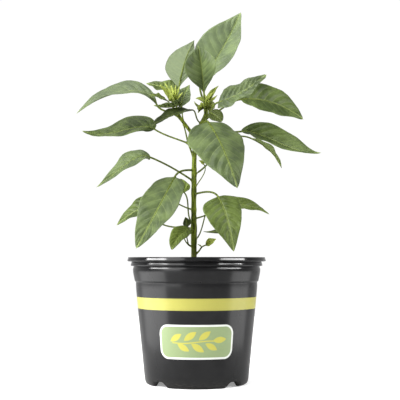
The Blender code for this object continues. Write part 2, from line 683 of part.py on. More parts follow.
def build_stem():
    pieces = []
    body = None
    for stem, (_, radii) in STEMS.items():
        made = tube(
            "stem" if stem == "main" else f"stem_{stem}",
            stem_line(stem),
            [r * MM for r in radii],
            STEM_SIDES[stem],
            STEM_STEPS[stem],
        )
        if stem == "main":
            body = made
        else:
            pieces.append(made)
    for leaf in LEAVES:
        start, end = leaf.peg()
        radius = leaf.peg_radius()
        pieces.append(tube(f"peg_{leaf.name}", [start, end], [radius * 1.25, radius], 8, 2))
    for name, (start, end, radius) in SHOOT_PEGS.items():
        pieces.append(tube(f"peg_{name}", [mm(*start), mm(*end)], [radius * 1.2 * MM, radius * MM], 8, 2))
    boolean(body, pieces, "UNION")
    clean_mesh(body)
    body.data.shade_smooth()
    body.data.set_sharp_from_angle(angle=math.radians(50))
    return body


# Pegs for the two small side shoots near the soil: inner end, free end and radius in millimetres
SHOOT_PEGS = {
    "low_right": ((-2.3, 0, 103.5), (1.0, -1.2, 106.8), 0.8),
    "low_left": ((-2.3, 0, 110.5), (-5.6, -0.8, 112.2), 0.7),
}

TIP_LEFT = {
    "core": (-18.6, -6.6, 229.9),
    "radius": 2.2,
    "sprouts": [
        Sprout((-19, -7, 231), (-25, -8, 238), (-30.5, -9, 245.5), 7, (0.5, -0.75, 0.45)),
        Sprout((-18.8, -7, 231.5), (-20.5, -9, 238), (-21, -9, 245), 5, (0.1, -0.9, 0.1)),
        Sprout((-18, -6.5, 231.5), (-16, -7, 238), (-14, -8, 244), 4.5, (-0.6, -0.75, 0.2)),
        Sprout((-19.5, -7.5, 230.5), (-23, -8.6, 235), (-26.5, -9, 239), 4.5, (0.1, -0.8, 0.5)),
        Sprout((-19, -8, 230.5), (-20.5, -13, 235), (-22, -17, 240.5), 5, (0.2, -0.55, 0.8)),
        Sprout((-17.6, -7.5, 230.5), (-14.5, -11, 234), (-11.5, -13, 238), 4.5, (-0.35, -0.6, 0.7)),
    ],
    "buds": [((-22, -9, 233.2), 1.7), ((-19.5, -9.2, 234.0), 1.5), ((-17.5, -8.6, 233.6), 1.4), ((-21, -6.5, 234.4), 1.4)],
}
TIP_RIGHT = {
    "core": (8.3, 4.2, 231.2),
    "radius": 2.1,
    "sprouts": [
        Sprout((9.4, 3.6, 232), (12.6, 3.4, 239.5), (18.6, 3.4, 247), 6.0, (-0.3, -0.9, 0.2)),
        Sprout((9.8, 4.4, 231.6), (13.5, 5.5, 235), (17.5, 6, 239.5), 3.6, (-0.4, -0.8, 0.4)),
        Sprout((7.3, 3.2, 232.2), (3.4, 1.5, 235.2), (-1, 0.5, 235.2), 4.2, (0.1, -0.75, 0.65)),
        Sprout((7.2, 3.6, 230.6), (2.2, 0.2, 227.6), (-2.2, -3, 232.6), 5.0, (0.35, -0.80, 0.45)),
        Sprout((9.6, 3.0, 230.2), (12.6, 0.4, 229.6), (14.6, -2.4, 225.8), 7.0, (0.1, -0.85, 0.45)),
        Sprout((7.0, 5.2, 231.8), (3.6, 8.0, 235.0), (-0.5, 10.0, 237.5), 4.4, (0.4, -0.5, 0.7)),
        Sprout((7.6, 3.8, 229.6), (3.8, 1.8, 227.0), (1.0, -0.6, 222.8), 4.0, (0.1, -0.85, 0.45)),
        Sprout((9.2, 3.2, 229.6), (11.0, 0.8, 226.0), (12.0, -1.6, 221.8), 5.0, (0.1, -0.85, 0.45)),
    ],
    "buds": [((5.4, 1.0, 229.6), 1.6), ((2.6, 0.0, 228.4), 1.4), ((10.2, 1.2, 232.4), 1.5), ((7.8, 1.6, 233.4), 1.4)],
}
LOW_RIGHT = {
    "core": (1.95, -1.53, 107.75),
    "radius": 0.95,
    "sprouts": [
        Sprout((1.8, -1.5, 107.6), (4.6, -2.6, 111.2), (9.0, -4.4, 113.2), 0.9, (0, -0.7, 0.7), 0.9, 0.0),
        Sprout((8.4, -4.2, 112.6), (12.0, -5.8, 114.8), (16.1, -7.0, 117.8), 8.0, (-0.3, -0.8, 0.5)),
        Sprout((8.0, -4.0, 112.6), (9.0, -5.6, 115.6), (10.5, -7.2, 118.6), 3.0, (0.3, -0.9, 0.3)),
        Sprout((4.6, -2.5, 111.0), (2.8, -3.4, 112.2), (0.9, -4.4, 113.6), 1.6, (0.3, -0.7, 0.6)),
    ],
    "buds": [],
}
LOW_LEFT = {
    "core": (-6.6, -1.05, 112.75),
    "radius": 0.9,
    "sprouts": [
        Sprout((-6.4, -1.1, 112.6), (-9.0, -2.0, 115.6), (-10.8, -2.6, 119.6), 0.9, (-0.7, -0.5, 0.2), 0.9, 0.0),
        Sprout((-10.6, -2.6, 119.0), (-12.6, -3.2, 122.6), (-16.2, -4.4, 125.6), 3.6, (-0.2, -0.7, 0.6)),
        Sprout((-6.6, -0.8, 112.9), (-7.6, 0.0, 116.6), (-8.6, 0.6, 121.5), 0.9, (-0.7, -0.5, 0.2), 0.9, 0.0),
        Sprout((-8.5, 0.6, 121.0), (-9.6, 1.4, 124.5), (-13.5, 2.2, 127.6), 3.2, (-0.3, -0.7, 0.6)),
    ],
    "buds": [],
}
SHOOTS = {
    "shoot_tip_left": TIP_LEFT,
    "shoot_tip_right": TIP_RIGHT,
    "shoot_low_right": LOW_RIGHT,
    "shoot_low_left": LOW_LEFT,
}


def main():
    for thing in list(bpy.data.objects):
        bpy.data.objects.remove(thing)
    build_pot()
    build_soil()
    build_stem()
    for leaf in LEAVES:
        leaf.build()
    for name, parts in SHOOTS.items():
        shoot(name, parts["core"], parts["radius"], parts["sprouts"], parts["buds"])


main()
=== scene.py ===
# %% [markdown]
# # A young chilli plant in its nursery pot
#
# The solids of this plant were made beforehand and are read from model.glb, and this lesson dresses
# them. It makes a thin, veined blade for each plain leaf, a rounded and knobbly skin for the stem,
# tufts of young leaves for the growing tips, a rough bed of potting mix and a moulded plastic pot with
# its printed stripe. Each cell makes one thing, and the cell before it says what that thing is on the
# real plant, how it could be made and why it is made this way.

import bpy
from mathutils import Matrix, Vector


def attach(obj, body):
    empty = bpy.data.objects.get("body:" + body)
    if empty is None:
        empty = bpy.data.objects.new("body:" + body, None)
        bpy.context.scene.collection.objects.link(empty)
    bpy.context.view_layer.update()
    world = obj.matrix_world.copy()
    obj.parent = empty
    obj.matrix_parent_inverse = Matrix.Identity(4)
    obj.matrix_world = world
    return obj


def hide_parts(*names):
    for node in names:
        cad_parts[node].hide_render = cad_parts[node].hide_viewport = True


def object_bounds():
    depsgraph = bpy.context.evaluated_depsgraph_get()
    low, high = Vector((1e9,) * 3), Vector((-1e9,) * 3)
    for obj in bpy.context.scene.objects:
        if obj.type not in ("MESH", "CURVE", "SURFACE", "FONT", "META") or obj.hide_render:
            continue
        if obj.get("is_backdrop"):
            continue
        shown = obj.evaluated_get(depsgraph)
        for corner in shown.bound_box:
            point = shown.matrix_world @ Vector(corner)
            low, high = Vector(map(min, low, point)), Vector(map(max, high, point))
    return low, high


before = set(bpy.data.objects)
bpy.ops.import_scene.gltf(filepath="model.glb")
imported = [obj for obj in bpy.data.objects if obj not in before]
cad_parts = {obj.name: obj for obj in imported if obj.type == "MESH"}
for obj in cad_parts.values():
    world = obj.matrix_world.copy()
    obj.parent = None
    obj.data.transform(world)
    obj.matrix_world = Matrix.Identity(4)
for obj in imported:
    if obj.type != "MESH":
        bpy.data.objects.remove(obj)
cad_box = [list(corner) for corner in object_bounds()]
print(len(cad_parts), "solids in a box", [[round(v, 4) for v in corner] for corner in cad_box])

# %% Python's own helpers
import math
from dataclasses import dataclass
from functools import partialmethod

import bmesh
import bpy
from mathutils import Quaternion, Vector

scene = bpy.context.scene
MM = 0.001


def mm(x, y, z):
    """A point that is given in millimetres."""
    return Vector((x, y, z)) * MM


def cell_says(*words):
    print("  made:", *words)


cell_says("one unit is a metre, and sizes are given in millimetres times", MM)

# %% [markdown]
# ## Sums on sockets
#
# A leaf is a formula, and so is the pattern of its veins. Both are built from nodes, and a long
# chain of Math nodes is hard to read when each is added and linked by hand. A small class that wraps
# a socket and gives it Python's own signs lets the formula be written as a formula. The same class
# serves trees that make shapes and trees that make colours, so one definition of the veins is used
# for both.

# %% A socket that can be reckoned with
def is_single(value):
    """Whether this is a number, or a wire that carries one."""
    if isinstance(value, Wire):
        return value.socket.type not in ("VECTOR", "RGBA")
    return isinstance(value, (int, float))


class Wire:
    """A socket of a node tree. Sums on values add Math nodes, sums on vectors add Vector Math."""

    def __init__(self, tree, socket=None):
        self.tree = tree
        self.socket = socket

    def node(self, kind, settings=None, inputs=None, out=0):
        """Adds a node: first its settings, then its sockets' values or links. Returns one output."""
        made = self.tree.nodes.new(kind)
        for name, value in (settings or {}).items():
            setattr(made, name, value)
        for key, value in (inputs or {}).items():
            usable = [s for s in made.inputs if s.enabled]
            socket = usable[key] if isinstance(key, int) else next(s for s in usable if s.name == key)
            for one in value if isinstance(value, list) else [value]:
                if isinstance(one, Wire):
                    self.tree.links.new(one.socket, socket)
                else:
                    socket.default_value = (*one, 1.0) if socket.type == "RGBA" else one
        given = [s for s in made.outputs if s.enabled]
        chosen = given[out] if isinstance(out, int) else next(s for s in given if s.name == out)
        return Wire(self.tree, chosen)

    def math(self, operation, *others):
        """A Math node, or a Vector Math node where a vector or a colour takes part."""
        parts = [self, *others]
        if all(map(is_single, parts)):
            return self.node("ShaderNodeMath", {"operation": operation}, dict(enumerate(parts)))
        if operation == "MULTIPLY" and any(map(is_single, parts)):
            parts.sort(key=is_single)
            operation = "SCALE"
        else:
            parts = [(p,) * 3 if isinstance(p, (int, float)) else p for p in parts]
        return self.node("ShaderNodeVectorMath", {"operation": operation}, dict(enumerate(parts)))

    def __rsub__(self, other):
        return self * -1.0 + other

    def part(self, axis):
        """The X, Y or Z of a vector, by its number."""
        return self.node("ShaderNodeSeparateXYZ", inputs={0: self}, out=axis)

    def joined(self, y, z=0.0):
        """A vector with this value as its X."""
        return self.node("ShaderNodeCombineXYZ", inputs={0: self, 1: y, 2: z})

    def between(self, low, high):
        """Low where this value is 0 and high where it is 1, for values, vectors or colours."""
        colours = self.tree.bl_idname == "ShaderNodeTree"
        kind = "FLOAT" if is_single(low) and is_single(high) else "RGBA" if colours else "VECTOR"
        return self.node("ShaderNodeMix", {"data_type": kind}, {"Factor": self, "A": low, "B": high})

    def rising(self, low, high):
        """A smooth step from 0 at low to 1 at high."""
        return self.node(
            "ShaderNodeMapRange",
            {"interpolation_type": "SMOOTHSTEP"},
            {"Value": self, "From Min": low, "From Max": high},
        )

    def noise(self, scale, detail=2.0, rough=0.5):
        """Cloudy noise, about 0.5 on average, at this place."""
        inputs = {"Vector": self, "Scale": scale, "Detail": detail, "Roughness": rough}
        return self.node("ShaderNodeTexNoise", inputs=inputs)


# Python's signs, and a few words, with the operation that each of them adds
OPERATIONS = {
    "__add__": "ADD", "__radd__": "ADD", "__mul__": "MULTIPLY", "__rmul__": "MULTIPLY", "__sub__": "SUBTRACT",
    "__truediv__": "DIVIDE", "__pow__": "POWER", "__abs__": "ABSOLUTE", "__gt__": "GREATER_THAN",
    "__lt__": "LESS_THAN", "least": "MINIMUM", "most": "MAXIMUM", "sin": "SINE", "cos": "COSINE",
    "unit": "NORMALIZE", "long": "LENGTH", "dot": "DOT_PRODUCT", "cross": "CROSS_PRODUCT",
}
for sign, operation in OPERATIONS.items():
    setattr(Wire, sign, partialmethod(Wire.math, operation))
cell_says("a wire with", len(OPERATIONS), "operations")

# %% [markdown]
# ## Growing a mesh from a tree
#
# Leaves, stalks, buds, crumbs of soil and even the pot follow rules, so each kind gets one Geometry
# Nodes tree with named inputs. The tree runs on a small carrier mesh that holds the points it needs.
# Its result is then kept as a plain mesh, because the export can't carry a live tree.

# %% Start, end and run a tree
def growing_tree(name, sockets):
    """A tree with geometry in and out and these named inputs, which are returned as wires."""
    tree = bpy.data.node_groups.new(name, "GeometryNodeTree")
    tree.interface.new_socket("Geometry", in_out="OUTPUT", socket_type="NodeSocketGeometry")
    for label, kind in {"Geometry": "Geometry", **sockets}.items():
        tree.interface.new_socket(label, in_out="INPUT", socket_type="NodeSocket" + kind)
    start = tree.nodes.new("NodeGroupInput")
    return tree, {s.name: Wire(tree, s) for s in start.outputs if s.name}


def end_tree(tree, geometry, material, other=None, where=None):
    """Makes instances real, shades smooth and sets the material, or a second one where it is wanted."""
    real = geometry.node("GeometryNodeRealizeInstances", inputs={"Geometry": geometry})
    smooth = real.node("GeometryNodeSetShadeSmooth", inputs={"Geometry": real})
    dressed = smooth.node("GeometryNodeSetMaterial", inputs={"Geometry": smooth, "Material": material})
    if other is not None:
        dressed = smooth.node(
            "GeometryNodeSetMaterial", inputs={"Geometry": dressed, "Selection": where, "Material": other}
        )
    end = tree.nodes.new("NodeGroupOutput")
    tree.links.new(dressed.socket, end.inputs["Geometry"])


def kept(thing):
    """Turns what the object's modifiers make into its plain mesh."""
    graph = bpy.context.evaluated_depsgraph_get()
    mesh = bpy.data.meshes.new_from_object(thing.evaluated_get(graph))
    thing.modifiers.clear()
    thing.data = mesh
    mesh.name = thing.name
    for slot in reversed(range(len(mesh.materials))):
        if mesh.materials[slot] is None:
            mesh.materials.pop(index=slot)
    return thing


def grown(name, tree, carrier, values):
    """Runs a tree on a carrier mesh and keeps the result as an object of this name."""
    thing = bpy.data.objects.new(name, carrier)
    scene.collection.objects.link(thing)
    modifier = thing.modifiers.new(tree.name, "NODES")
    modifier.node_group = tree
    for item in tree.interface.items_tree:
        if item.in_out == "INPUT" and item.name in values:
            modifier[item.identifier] = values[item.name]
    return kept(thing)


def outwards(thing):
    """Turns the faces of a closed mesh outwards."""
    shape = bmesh.new()
    shape.from_mesh(thing.data)
    bmesh.ops.recalc_face_normals(shape, faces=shape.faces)
    shape.to_mesh(thing.data)
    shape.free()
    return thing


def lines_mesh(name, lines, values=None):
    """A carrier of separate lines of points, with one value a point kept as its girth."""
    points = [p for line in lines for p in line]
    edges = []
    first = 0
    for line in lines:
        edges += [(first + i, first + i + 1) for i in range(len(line) - 1)]
        first += len(line)
    mesh = bpy.data.meshes.new(name)
    mesh.from_pydata([tuple(p) for p in points], edges, [])
    if values:
        mesh.attributes.new("girth", "FLOAT", "POINT").data.foreach_set("value", values)
    return mesh


def merged_into(first, others):
    """Joins the meshes of other objects into the first object."""
    shape = bmesh.new()
    materials = list(first.data.materials)
    shape.from_mesh(first.data)
    for other in others:
        slots = []
        for material in other.data.materials:
            if material not in materials:
                materials.append(material)
            slots.append(materials.index(material))
        count = len(shape.faces)
        shape.from_mesh(other.data)
        shape.faces.ensure_lookup_table()
        for face in shape.faces[count:]:
            face.material_index = slots[face.material_index]
        bpy.data.objects.remove(other)
    shape.to_mesh(first.data)
    shape.free()
    for material in materials[len(first.data.materials):]:
        first.data.materials.append(material)
    return first


cell_says("helpers that run a tree and keep its mesh")

# %% [markdown]
# ## Camera, floor and light
#
# The plant was photographed a little over arm's length away, from the height of the pot's lip and
# with the lens tipped slightly up. The lip, the stripe and the foot of the pot are drawn as ellipses
# of different heights, and their heights gave the distance and the tilt. Glossy black plastic shows
# almost nothing but what it mirrors, so the lights are placed for their reflections. A tall box at
# the front left lights the leaves and lays the broad gleam on that side of the pot. Two slim tubes,
# rolled to lie along the line that the sloping lip mirrors, draw the bright dashes on lip and
# grooves, and a low strip beside each flank draws the gleam that runs down it. Two weak boxes fill
# the shadows. The room is bright behind the plant and dim in front of it, and the camera alone sees
# room and floor as white, so the white ground doesn't wash out the black. The Standard view
# transform shows each colour as it was mixed.

# %% Place the camera
CAMERA_PLACE = (0.0028, -0.750, 0.0995)
CAMERA_PITCH = 3.86
CAMERA_LENS = 81.4

camera = bpy.data.objects.new("camera", bpy.data.cameras.new("camera"))
camera.data.lens = CAMERA_LENS
camera.data.sensor_width = 36.0
camera.location = CAMERA_PLACE
camera.rotation_euler = (math.radians(90 + CAMERA_PITCH), 0, 0)
scene.collection.objects.link(camera)
scene.camera = camera
scene.view_settings.view_transform = "Standard"
cell_says("a camera", round(-CAMERA_PLACE[1], 2), "m in front of the stem")

# %% Hang the soft boxes
# name: place, the point it faces, width, height, brightness, the spread of its grid and its roll
SOFT_BOXES = {
    "left_box": ((-0.72, -0.72, 0.80), (0, 0, 0.20), 0.9, 1.8, 5.4, 180, 0),
    "right_box": ((1.05, -0.10, 0.60), (0, 0, 0.18), 0.4, 0.8, 0.3, 180, 0),
    "top_box": ((-0.25, 0.25, 1.20), (0, 0, 0.2), 0.8, 0.8, 0.9, 180, 0),
    "left_tube": ((-0.892, -0.273, 0.559), (-0.033, -0.046, 0.101), 0.67, 0.08, 38.0, 180, 11),
    "right_tube": ((0.836, -0.393, 0.580), (0.029, -0.049, 0.101), 0.81, 0.07, 34.0, 180, -10),
    "left_strip": ((-0.158, -0.010, 0.040), (-0.006, 0.041, 0.040), 0.200, 0.075, 1.9, 120, 0),
    "right_strip": ((0.1575, -0.025, 0.040), (0.0075, 0.031, 0.040), 0.128, 0.075, 1.5, 120, 0),
}


def soft_box(name, place, target, width, height, brightness, spread, roll):
    """A rectangle of light. Its power is what gives its face this brightness."""
    light = bpy.data.lights.new(name, "AREA")
    light.shape = "RECTANGLE"
    light.size = width
    light.size_y = height
    light.energy = brightness * math.pi * width * height
    light.spread = math.radians(spread)
    box = bpy.data.objects.new(name, light)
    box.location = place
    aim = (Vector(target) - Vector(place)).to_track_quat("-Z", "Y")
    box.rotation_euler = (aim @ Quaternion((0, 0, 1), math.radians(roll))).to_euler()
    box.visible_camera = False
    scene.collection.objects.link(box)


for name, box in SOFT_BOXES.items():
    soft_box(name, *box)
cell_says(len(SOFT_BOXES), "soft boxes")

# %% Start a material and feed its shader
def new_material(name):
    """An empty material, its shader and a wire to start from."""
    made = bpy.data.materials.new(name)
    made.use_nodes = True
    tree = made.node_tree
    return made, tree.nodes["Principled BSDF"], Wire(tree)


def feed(shader, **sockets):
    """Links wires to a shader's sockets, or sets numbers on them."""
    for label, value in sockets.items():
        socket = shader.inputs[label.replace("_", " ")]
        if isinstance(value, Wire):
            value.tree.links.new(value.socket, socket)
        else:
            socket.default_value = value


cell_says("helpers that feed a shader")

# %% Paint the room
# brightness of the room as the plant mirrors it: in front, behind and overhead
FRONT_LIGHT, BACKDROP_LIGHT, SKY_LIGHT = 0.10, 0.60, 0.45
# the backdrop grows bright as a direction turns from the front to the back, and the sky as it rises
BACKDROP_GROWS, SKY_GROWS = (-0.10, 0.70), (0.25, 0.95)
# the heights between which the backdrop loses this share of its light
BACKDROP_FADES, BACKDROP_LOSS = (0.30, 0.60), 0.6
# what the camera sees, just over 1 so that it stays white where the last digits are rounded
WHITE = 1.02

room = bpy.data.worlds.new("pale_room")
room.use_nodes = True
room_start = Wire(room.node_tree)
towards = room_start.node("ShaderNodeTexCoord", out="Generated")
depth, up = towards.part(1), towards.part(2)
behind = depth.rising(*BACKDROP_GROWS) * (1.0 - up.rising(*BACKDROP_FADES) * BACKDROP_LOSS)
brightness = behind.between(FRONT_LIGHT, BACKDROP_LIGHT) + up.rising(*SKY_GROWS) * SKY_LIGHT
seen = room_start.node("ShaderNodeLightPath", out="Is Camera Ray")
brightness = seen.between(brightness, WHITE)
feed(room.node_tree.nodes["Background"], Color=(1.0, 1.0, 1.0, 1.0), Strength=brightness)
scene.world = room
cell_says("a room that is brightest behind the plant")

# %% Lay the floor
FLOOR_REACH = 0.9
# how white the floor is to the camera and to all other rays, and its glow for the camera alone
FLOOR_WHITE, FLOOR_BOUNCE, FLOOR_GLOW = 0.96, 0.50, 0.30

pale_floor, shader, start = new_material("pale_floor")
seen = start.node("ShaderNodeLightPath", out="Is Camera Ray")
feed(
    shader,
    Base_Color=seen.between(FLOOR_BOUNCE, FLOOR_WHITE),
    Roughness=0.9,
    Emission_Color=seen * FLOOR_GLOW,
    Emission_Strength=1.0,
)
floor_mesh = bpy.data.meshes.new("floor")
corners = [(x * FLOOR_REACH, y * FLOOR_REACH, 0) for x, y in ((-1, -1), (1, -1), (1, 1), (-1, 1))]
floor_mesh.from_pydata(corners, [], [(0, 1, 2, 3)])
floor_mesh.materials.append(pale_floor)
floor = bpy.data.objects.new("floor", floor_mesh)
scene.collection.objects.link(floor)
floor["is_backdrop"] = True
cell_says("a pale floor", 2 * FLOOR_REACH, "m wide")

# %% [markdown]
# ## The veins, for shape and colour alike
#
# From a chilli leaf's midrib the side veins leave in turn to the left and right and bend towards
# the tip as they near the margin. The blade puffs up a little between them. Number the veins from
# base to tip, and any place on the blade lies at some number: whole on a vein, and half way between
# two whole numbers in the middle of a puff. This one formula bends the mesh, and later draws the
# pale lines on it.

# %% Number the side veins
VEIN_COUNT = 8.0
VEIN_SWEEP = 0.13
VEIN_BEND = 0.10


def vein_number(across, along):
    """Where a place lies among the side veins. across is -1 to 1 and along 0 to 1."""
    outward = abs(across)
    lag = outward * VEIN_SWEEP + outward * outward * VEIN_BEND
    return (along - lag) * VEIN_COUNT + (across > 0.0) * 0.5


def off_vein(across, along):
    """Distance from the nearest side vein, from 0 to a half of the distance between two."""
    return vein_number(across, along).math("PINGPONG", 0.5)


cell_says(int(VEIN_COUNT), "side veins on each side of a midrib")

# %% [markdown]
# ## Leaf skin
#
# The face of a leaf is dark green with clouds of a fresher green, its midrib and side veins are
# paler, and a fine net of veins covers the rest. The underside is paler, duller and its veins stand
# out. The pattern has to follow the blade, so the material reads the blade's own UV map, and its
# half width and length in metres from an attribute, which keeps a vein as wide on a narrow leaf as
# on a broad one. A second attribute gives each leaf its own tone and warmth. A warm leaf has turned
# yellowish, and one whose warmth is below 0 is mixed towards a pale grey green instead: painted
# sheen, which stands in for the gloss on its face.

# %% Blade skins
# where the midrib's pale line fades, a side vein's half width and how much it thins towards the margin
MIDRIB_EDGE, VEIN_HALF_WIDTH, VEIN_THINS = (0.35 * MM, 0.95 * MM), 0.42 * MM, 0.20 * MM
# how fine the net of veins, the clouds and the grain are
NET_SCALE, CLOUD_SCALE, GRAIN_SCALE = 420.0, 70.0, 520.0


def bumped(height, strength, distance):
    """The normal of a surface that this height roughens."""
    inputs = {"Strength": strength, "Distance": distance, "Height": height}
    return height.node("ShaderNodeBump", inputs=inputs)


def blade_skin(name, deep, fresh, vein, back, warm, painted_sheen, gloss, roughness):
    """The skin of a leaf blade, face and underside."""
    made, shader, start = new_material(name)
    uv = start.node("ShaderNodeUVMap", {"uv_map": "UVMap"})
    across = uv.part(0) * 2.0 - 1.0
    along = uv.part(1)
    size = start.node("ShaderNodeAttribute", {"attribute_name": "blade_size"}, out="Vector")
    half, length, under = size.part(0), size.part(1), size.part(2)
    mood = start.node("ShaderNodeAttribute", {"attribute_name": "leaf_mood"}, out="Vector")
    tone, warmth, seed = mood.part(0), mood.part(1), mood.part(2)
    outward = abs(across)
    place = (across * half).joined(along * length, seed)

    midrib = 1.0 - (outward * half).rising(*MIDRIB_EDGE)
    gap = off_vein(across, along) * length / VEIN_COUNT
    thin = outward * -VEIN_THINS + VEIN_HALF_WIDTH
    side_veins = (1.0 - gap.rising(thin * 0.2, thin * 1.7)) * (1.0 - outward * outward * 0.6)
    net_cells = start.node(
        "ShaderNodeTexVoronoi",
        {"feature": "DISTANCE_TO_EDGE"},
        {"Vector": place, "Scale": NET_SCALE, "Randomness": 1.0},
        out="Distance",
    )
    net = 1.0 - net_cells.rising(0.02, 0.16)
    clouds = place.noise(CLOUD_SCALE, 3.0)
    grain = place.noise(GRAIN_SCALE, 1.0)

    face = clouds.rising(0.36, 0.64).between(deep, fresh)
    face = (net * 0.05).between(face, vein)
    face = (side_veins * 0.28).between(face, vein)
    face = (midrib * 0.80).between(face, vein)
    below = clouds.rising(0.25, 0.75).between(back, tuple(c * 1.25 for c in back))
    below = (side_veins * 0.5).most(midrib * 0.8).between(below, vein)
    colour = under.between(face, below)
    colour = warmth.most(0.0).between(colour, warm)
    # painted sheen: where warmth is below 0 the skin is mixed towards a pale grey green that stands in for
    # gloss
    colour = (warmth * -1.0).most(0.0).between(colour, painted_sheen)
    colour = colour * (tone + 1.0 + (grain - 0.5) * 0.10)

    ridge = under * 2.0 - 1.0
    height = (side_veins * 0.8 + midrib + net * 0.12) * ridge
    feed(
        shader,
        Base_Color=colour,
        Roughness=under * 0.16 + clouds * 0.10 + roughness,
        Normal=bumped(height, 0.45, 0.16 * MM),
        Specular_IOR_Level=gloss,
    )
    return made


# in each skin below, the pale grey green given after the warm yellow is painted sheen, mixed in where a leaf's
# warmth is below 0
LEAF_SKIN = blade_skin(
    "leaf_skin",
    deep=(0.034, 0.056, 0.011),
    fresh=(0.092, 0.132, 0.033),
    vein=(0.26, 0.325, 0.10),
    back=(0.170, 0.228, 0.085),
    warm=(0.190, 0.245, 0.040),
    painted_sheen=(0.260, 0.310, 0.220),
    gloss=0.20,
    roughness=0.36,
)
YOUNG_SKIN = blade_skin(
    "young_leaf_skin",
    deep=(0.115, 0.165, 0.020),
    fresh=(0.210, 0.275, 0.045),
    vein=(0.42, 0.48, 0.13),
    back=(0.255, 0.320, 0.085),
    warm=(0.400, 0.440, 0.080),
    painted_sheen=(0.300, 0.340, 0.220),
    gloss=0.20,
    roughness=0.34,
)
cell_says("two blade skins")

# %% [markdown]
# ## Stalk, stem and bud skin
#
# Stalks are a shade paler and yellower than the blades. The stem is a brighter green with dark
# streaks along it and darker patches here and there, and it turns dull and brownish just above the
# soil. Streaks that run along a stem are noise that is squeezed across it, so here the pattern reads
# object coordinates whose height is made smaller.

# %% Green bark and stalks
def streaked_skin(name, deep, fresh, old, roughness, squeeze=0.12, old_height=(93 * MM, 112 * MM)):
    """A green skin with streaks along Z, which turns old and dull towards the soil."""
    made, shader, start = new_material(name)
    place = start.node("ShaderNodeTexCoord", out="Object")
    height = place.part(2)
    drawn = place.part(0).joined(place.part(1), height * squeeze)
    streaks = drawn.noise(900.0, 3.0)
    patches = place.noise(140.0, 2.0)
    pores = place.noise(2600.0, 1.0)
    colour = streaks.rising(0.30, 0.68).between(deep, fresh)
    colour = (patches.rising(0.45, 0.75) * 0.5).between(colour, tuple(c * 0.72 for c in deep))
    worn = (1.0 - height.rising(*old_height)) * (streaks * 0.8 + 0.35)
    colour = worn.between(colour, old)
    feed(
        shader,
        Base_Color=colour,
        Roughness=streaks * 0.14 + roughness,
        Normal=bumped(streaks + pores * 0.35, 0.5, 0.20 * MM),
        Specular_IOR_Level=0.12,
    )
    return made


STALK_SKIN = streaked_skin(
    "stalk_skin", (0.048, 0.068, 0.006), (0.170, 0.218, 0.040), (0.12, 0.12, 0.04), 0.42, squeeze=0.5
)
STEM_SKIN = streaked_skin(
    "stem_skin", (0.026, 0.038, 0.003), (0.210, 0.270, 0.025), (0.115, 0.105, 0.045), 0.44
)
BUD_SKIN = streaked_skin(
    "bud_skin", (0.110, 0.150, 0.016), (0.260, 0.310, 0.050), (0.12, 0.12, 0.04), 0.36, squeeze=0.6
)
cell_says("skins for stalks, stem and buds")

# %% [markdown]
# ## One tree for every leaf
#
# All 27 leaves, and the young ones in the tips, are one shape with other numbers: a stalk that runs
# into a midrib, and a blade that opens on both sides of it. Modelling each by hand would take long
# and they would not match. The tree bends two grids instead. The first grid is rolled into a closed,
# tapered tube along two Bezier curves, the stalk and the midrib. The second is folded over itself at
# the margins and becomes the face and the underside of the blade. Its columns lie closer together at
# the midrib, where the blade is creased.

# %% Curves and frames as formulas
def on_bezier(controls, t):
    """A point of a Bezier curve with four control points, as nodes."""
    a, b, c, d = controls
    u = 1.0 - t
    return a * (u * u * u) + b * (u * u * t * 3.0) + c * (u * t * t * 3.0) + d * (t * t * t)


def bezier_ahead(controls, t):
    """The direction of the curve, as nodes."""
    a, b, c, d = controls
    u = 1.0 - t
    return ((b - a) * (u * u) + (c - b) * (u * t * 2.0) + (d - c) * (t * t)).unit()


LEAF_SOCKETS = {
    **{f"Stalk {i}": "Vector" for i in range(4)},
    **{f"Rib {i}": "Vector" for i in range(4)},
    "Face": "Vector",
    **{
        label: "Float"
        for label in (
            "Width", "Fold", "Twist", "Skew", "Wave", "Widest Power", "Fullness", "Stalk Radius", "Thickness",
            "Quilting", "Crumple", "Seed", "Tone", "Warmth",
        )
    },
    "Columns": "Int",
    "Rows": "Int",
    "Stalk Rows": "Int",
    "Blade Material": "Material",
    "Stalk Material": "Material",
}
cell_says(len(LEAF_SOCKETS), "inputs for a leaf")


# %% Bend the grids into a leaf
def store(geometry, name, value, kind="FLOAT_VECTOR", domain="POINT"):
    """Keeps a value on the geometry under a name."""
    return geometry.node(
        "GeometryNodeStoreNamedAttribute",
        {"data_type": kind, "domain": domain},
        {"Geometry": geometry, "Name": name, "Value": value},
    )


def stored(start, name):
    """The number that is kept on the geometry under a name."""
    return start.node("GeometryNodeInputNamedAttribute", {"data_type": "FLOAT"}, {"Name": name})


def placed(geometry, position):
    return geometry.node("GeometryNodeSetPosition", inputs={"Geometry": geometry, "Position": position})


def welded(geometry, distance=0.004 * MM):
    return geometry.node("GeometryNodeMergeByDistance", inputs={"Geometry": geometry, "Distance": distance})


def unit_grid(start, columns, rows):
    """A grid, with the share of the way across and up it at each point."""
    sizes = {"Size X": 1.0, "Size Y": 1.0, "Vertices X": columns, "Vertices Y": rows}
    sheet = start.node("GeometryNodeMeshGrid", inputs=sizes)
    place = start.node("GeometryNodeInputPosition")
    return sheet, place.part(0) + 0.5, place.part(1) + 0.5


def control_points(given, curve):
    """The four control points of the stalk or the rib."""
    return [given[f"{curve} {i}"] for i in range(4)]


def blade_frame(given, ahead, t):
    """The blade's side and its normal where the midrib runs ahead, with its twist."""
    rib = control_points(given, "Rib")
    face = given["Face"].node(
        "ShaderNodeVectorRotate",
        {"rotation_type": "AXIS_ANGLE"},
        {"Vector": given["Face"], "Axis": (rib[3] - rib[0]).unit(), "Angle": given["Twist"] * (t - 0.4)},
    )
    normal = (face - ahead * face.dot(ahead)).unit()
    return ahead.cross(normal), normal


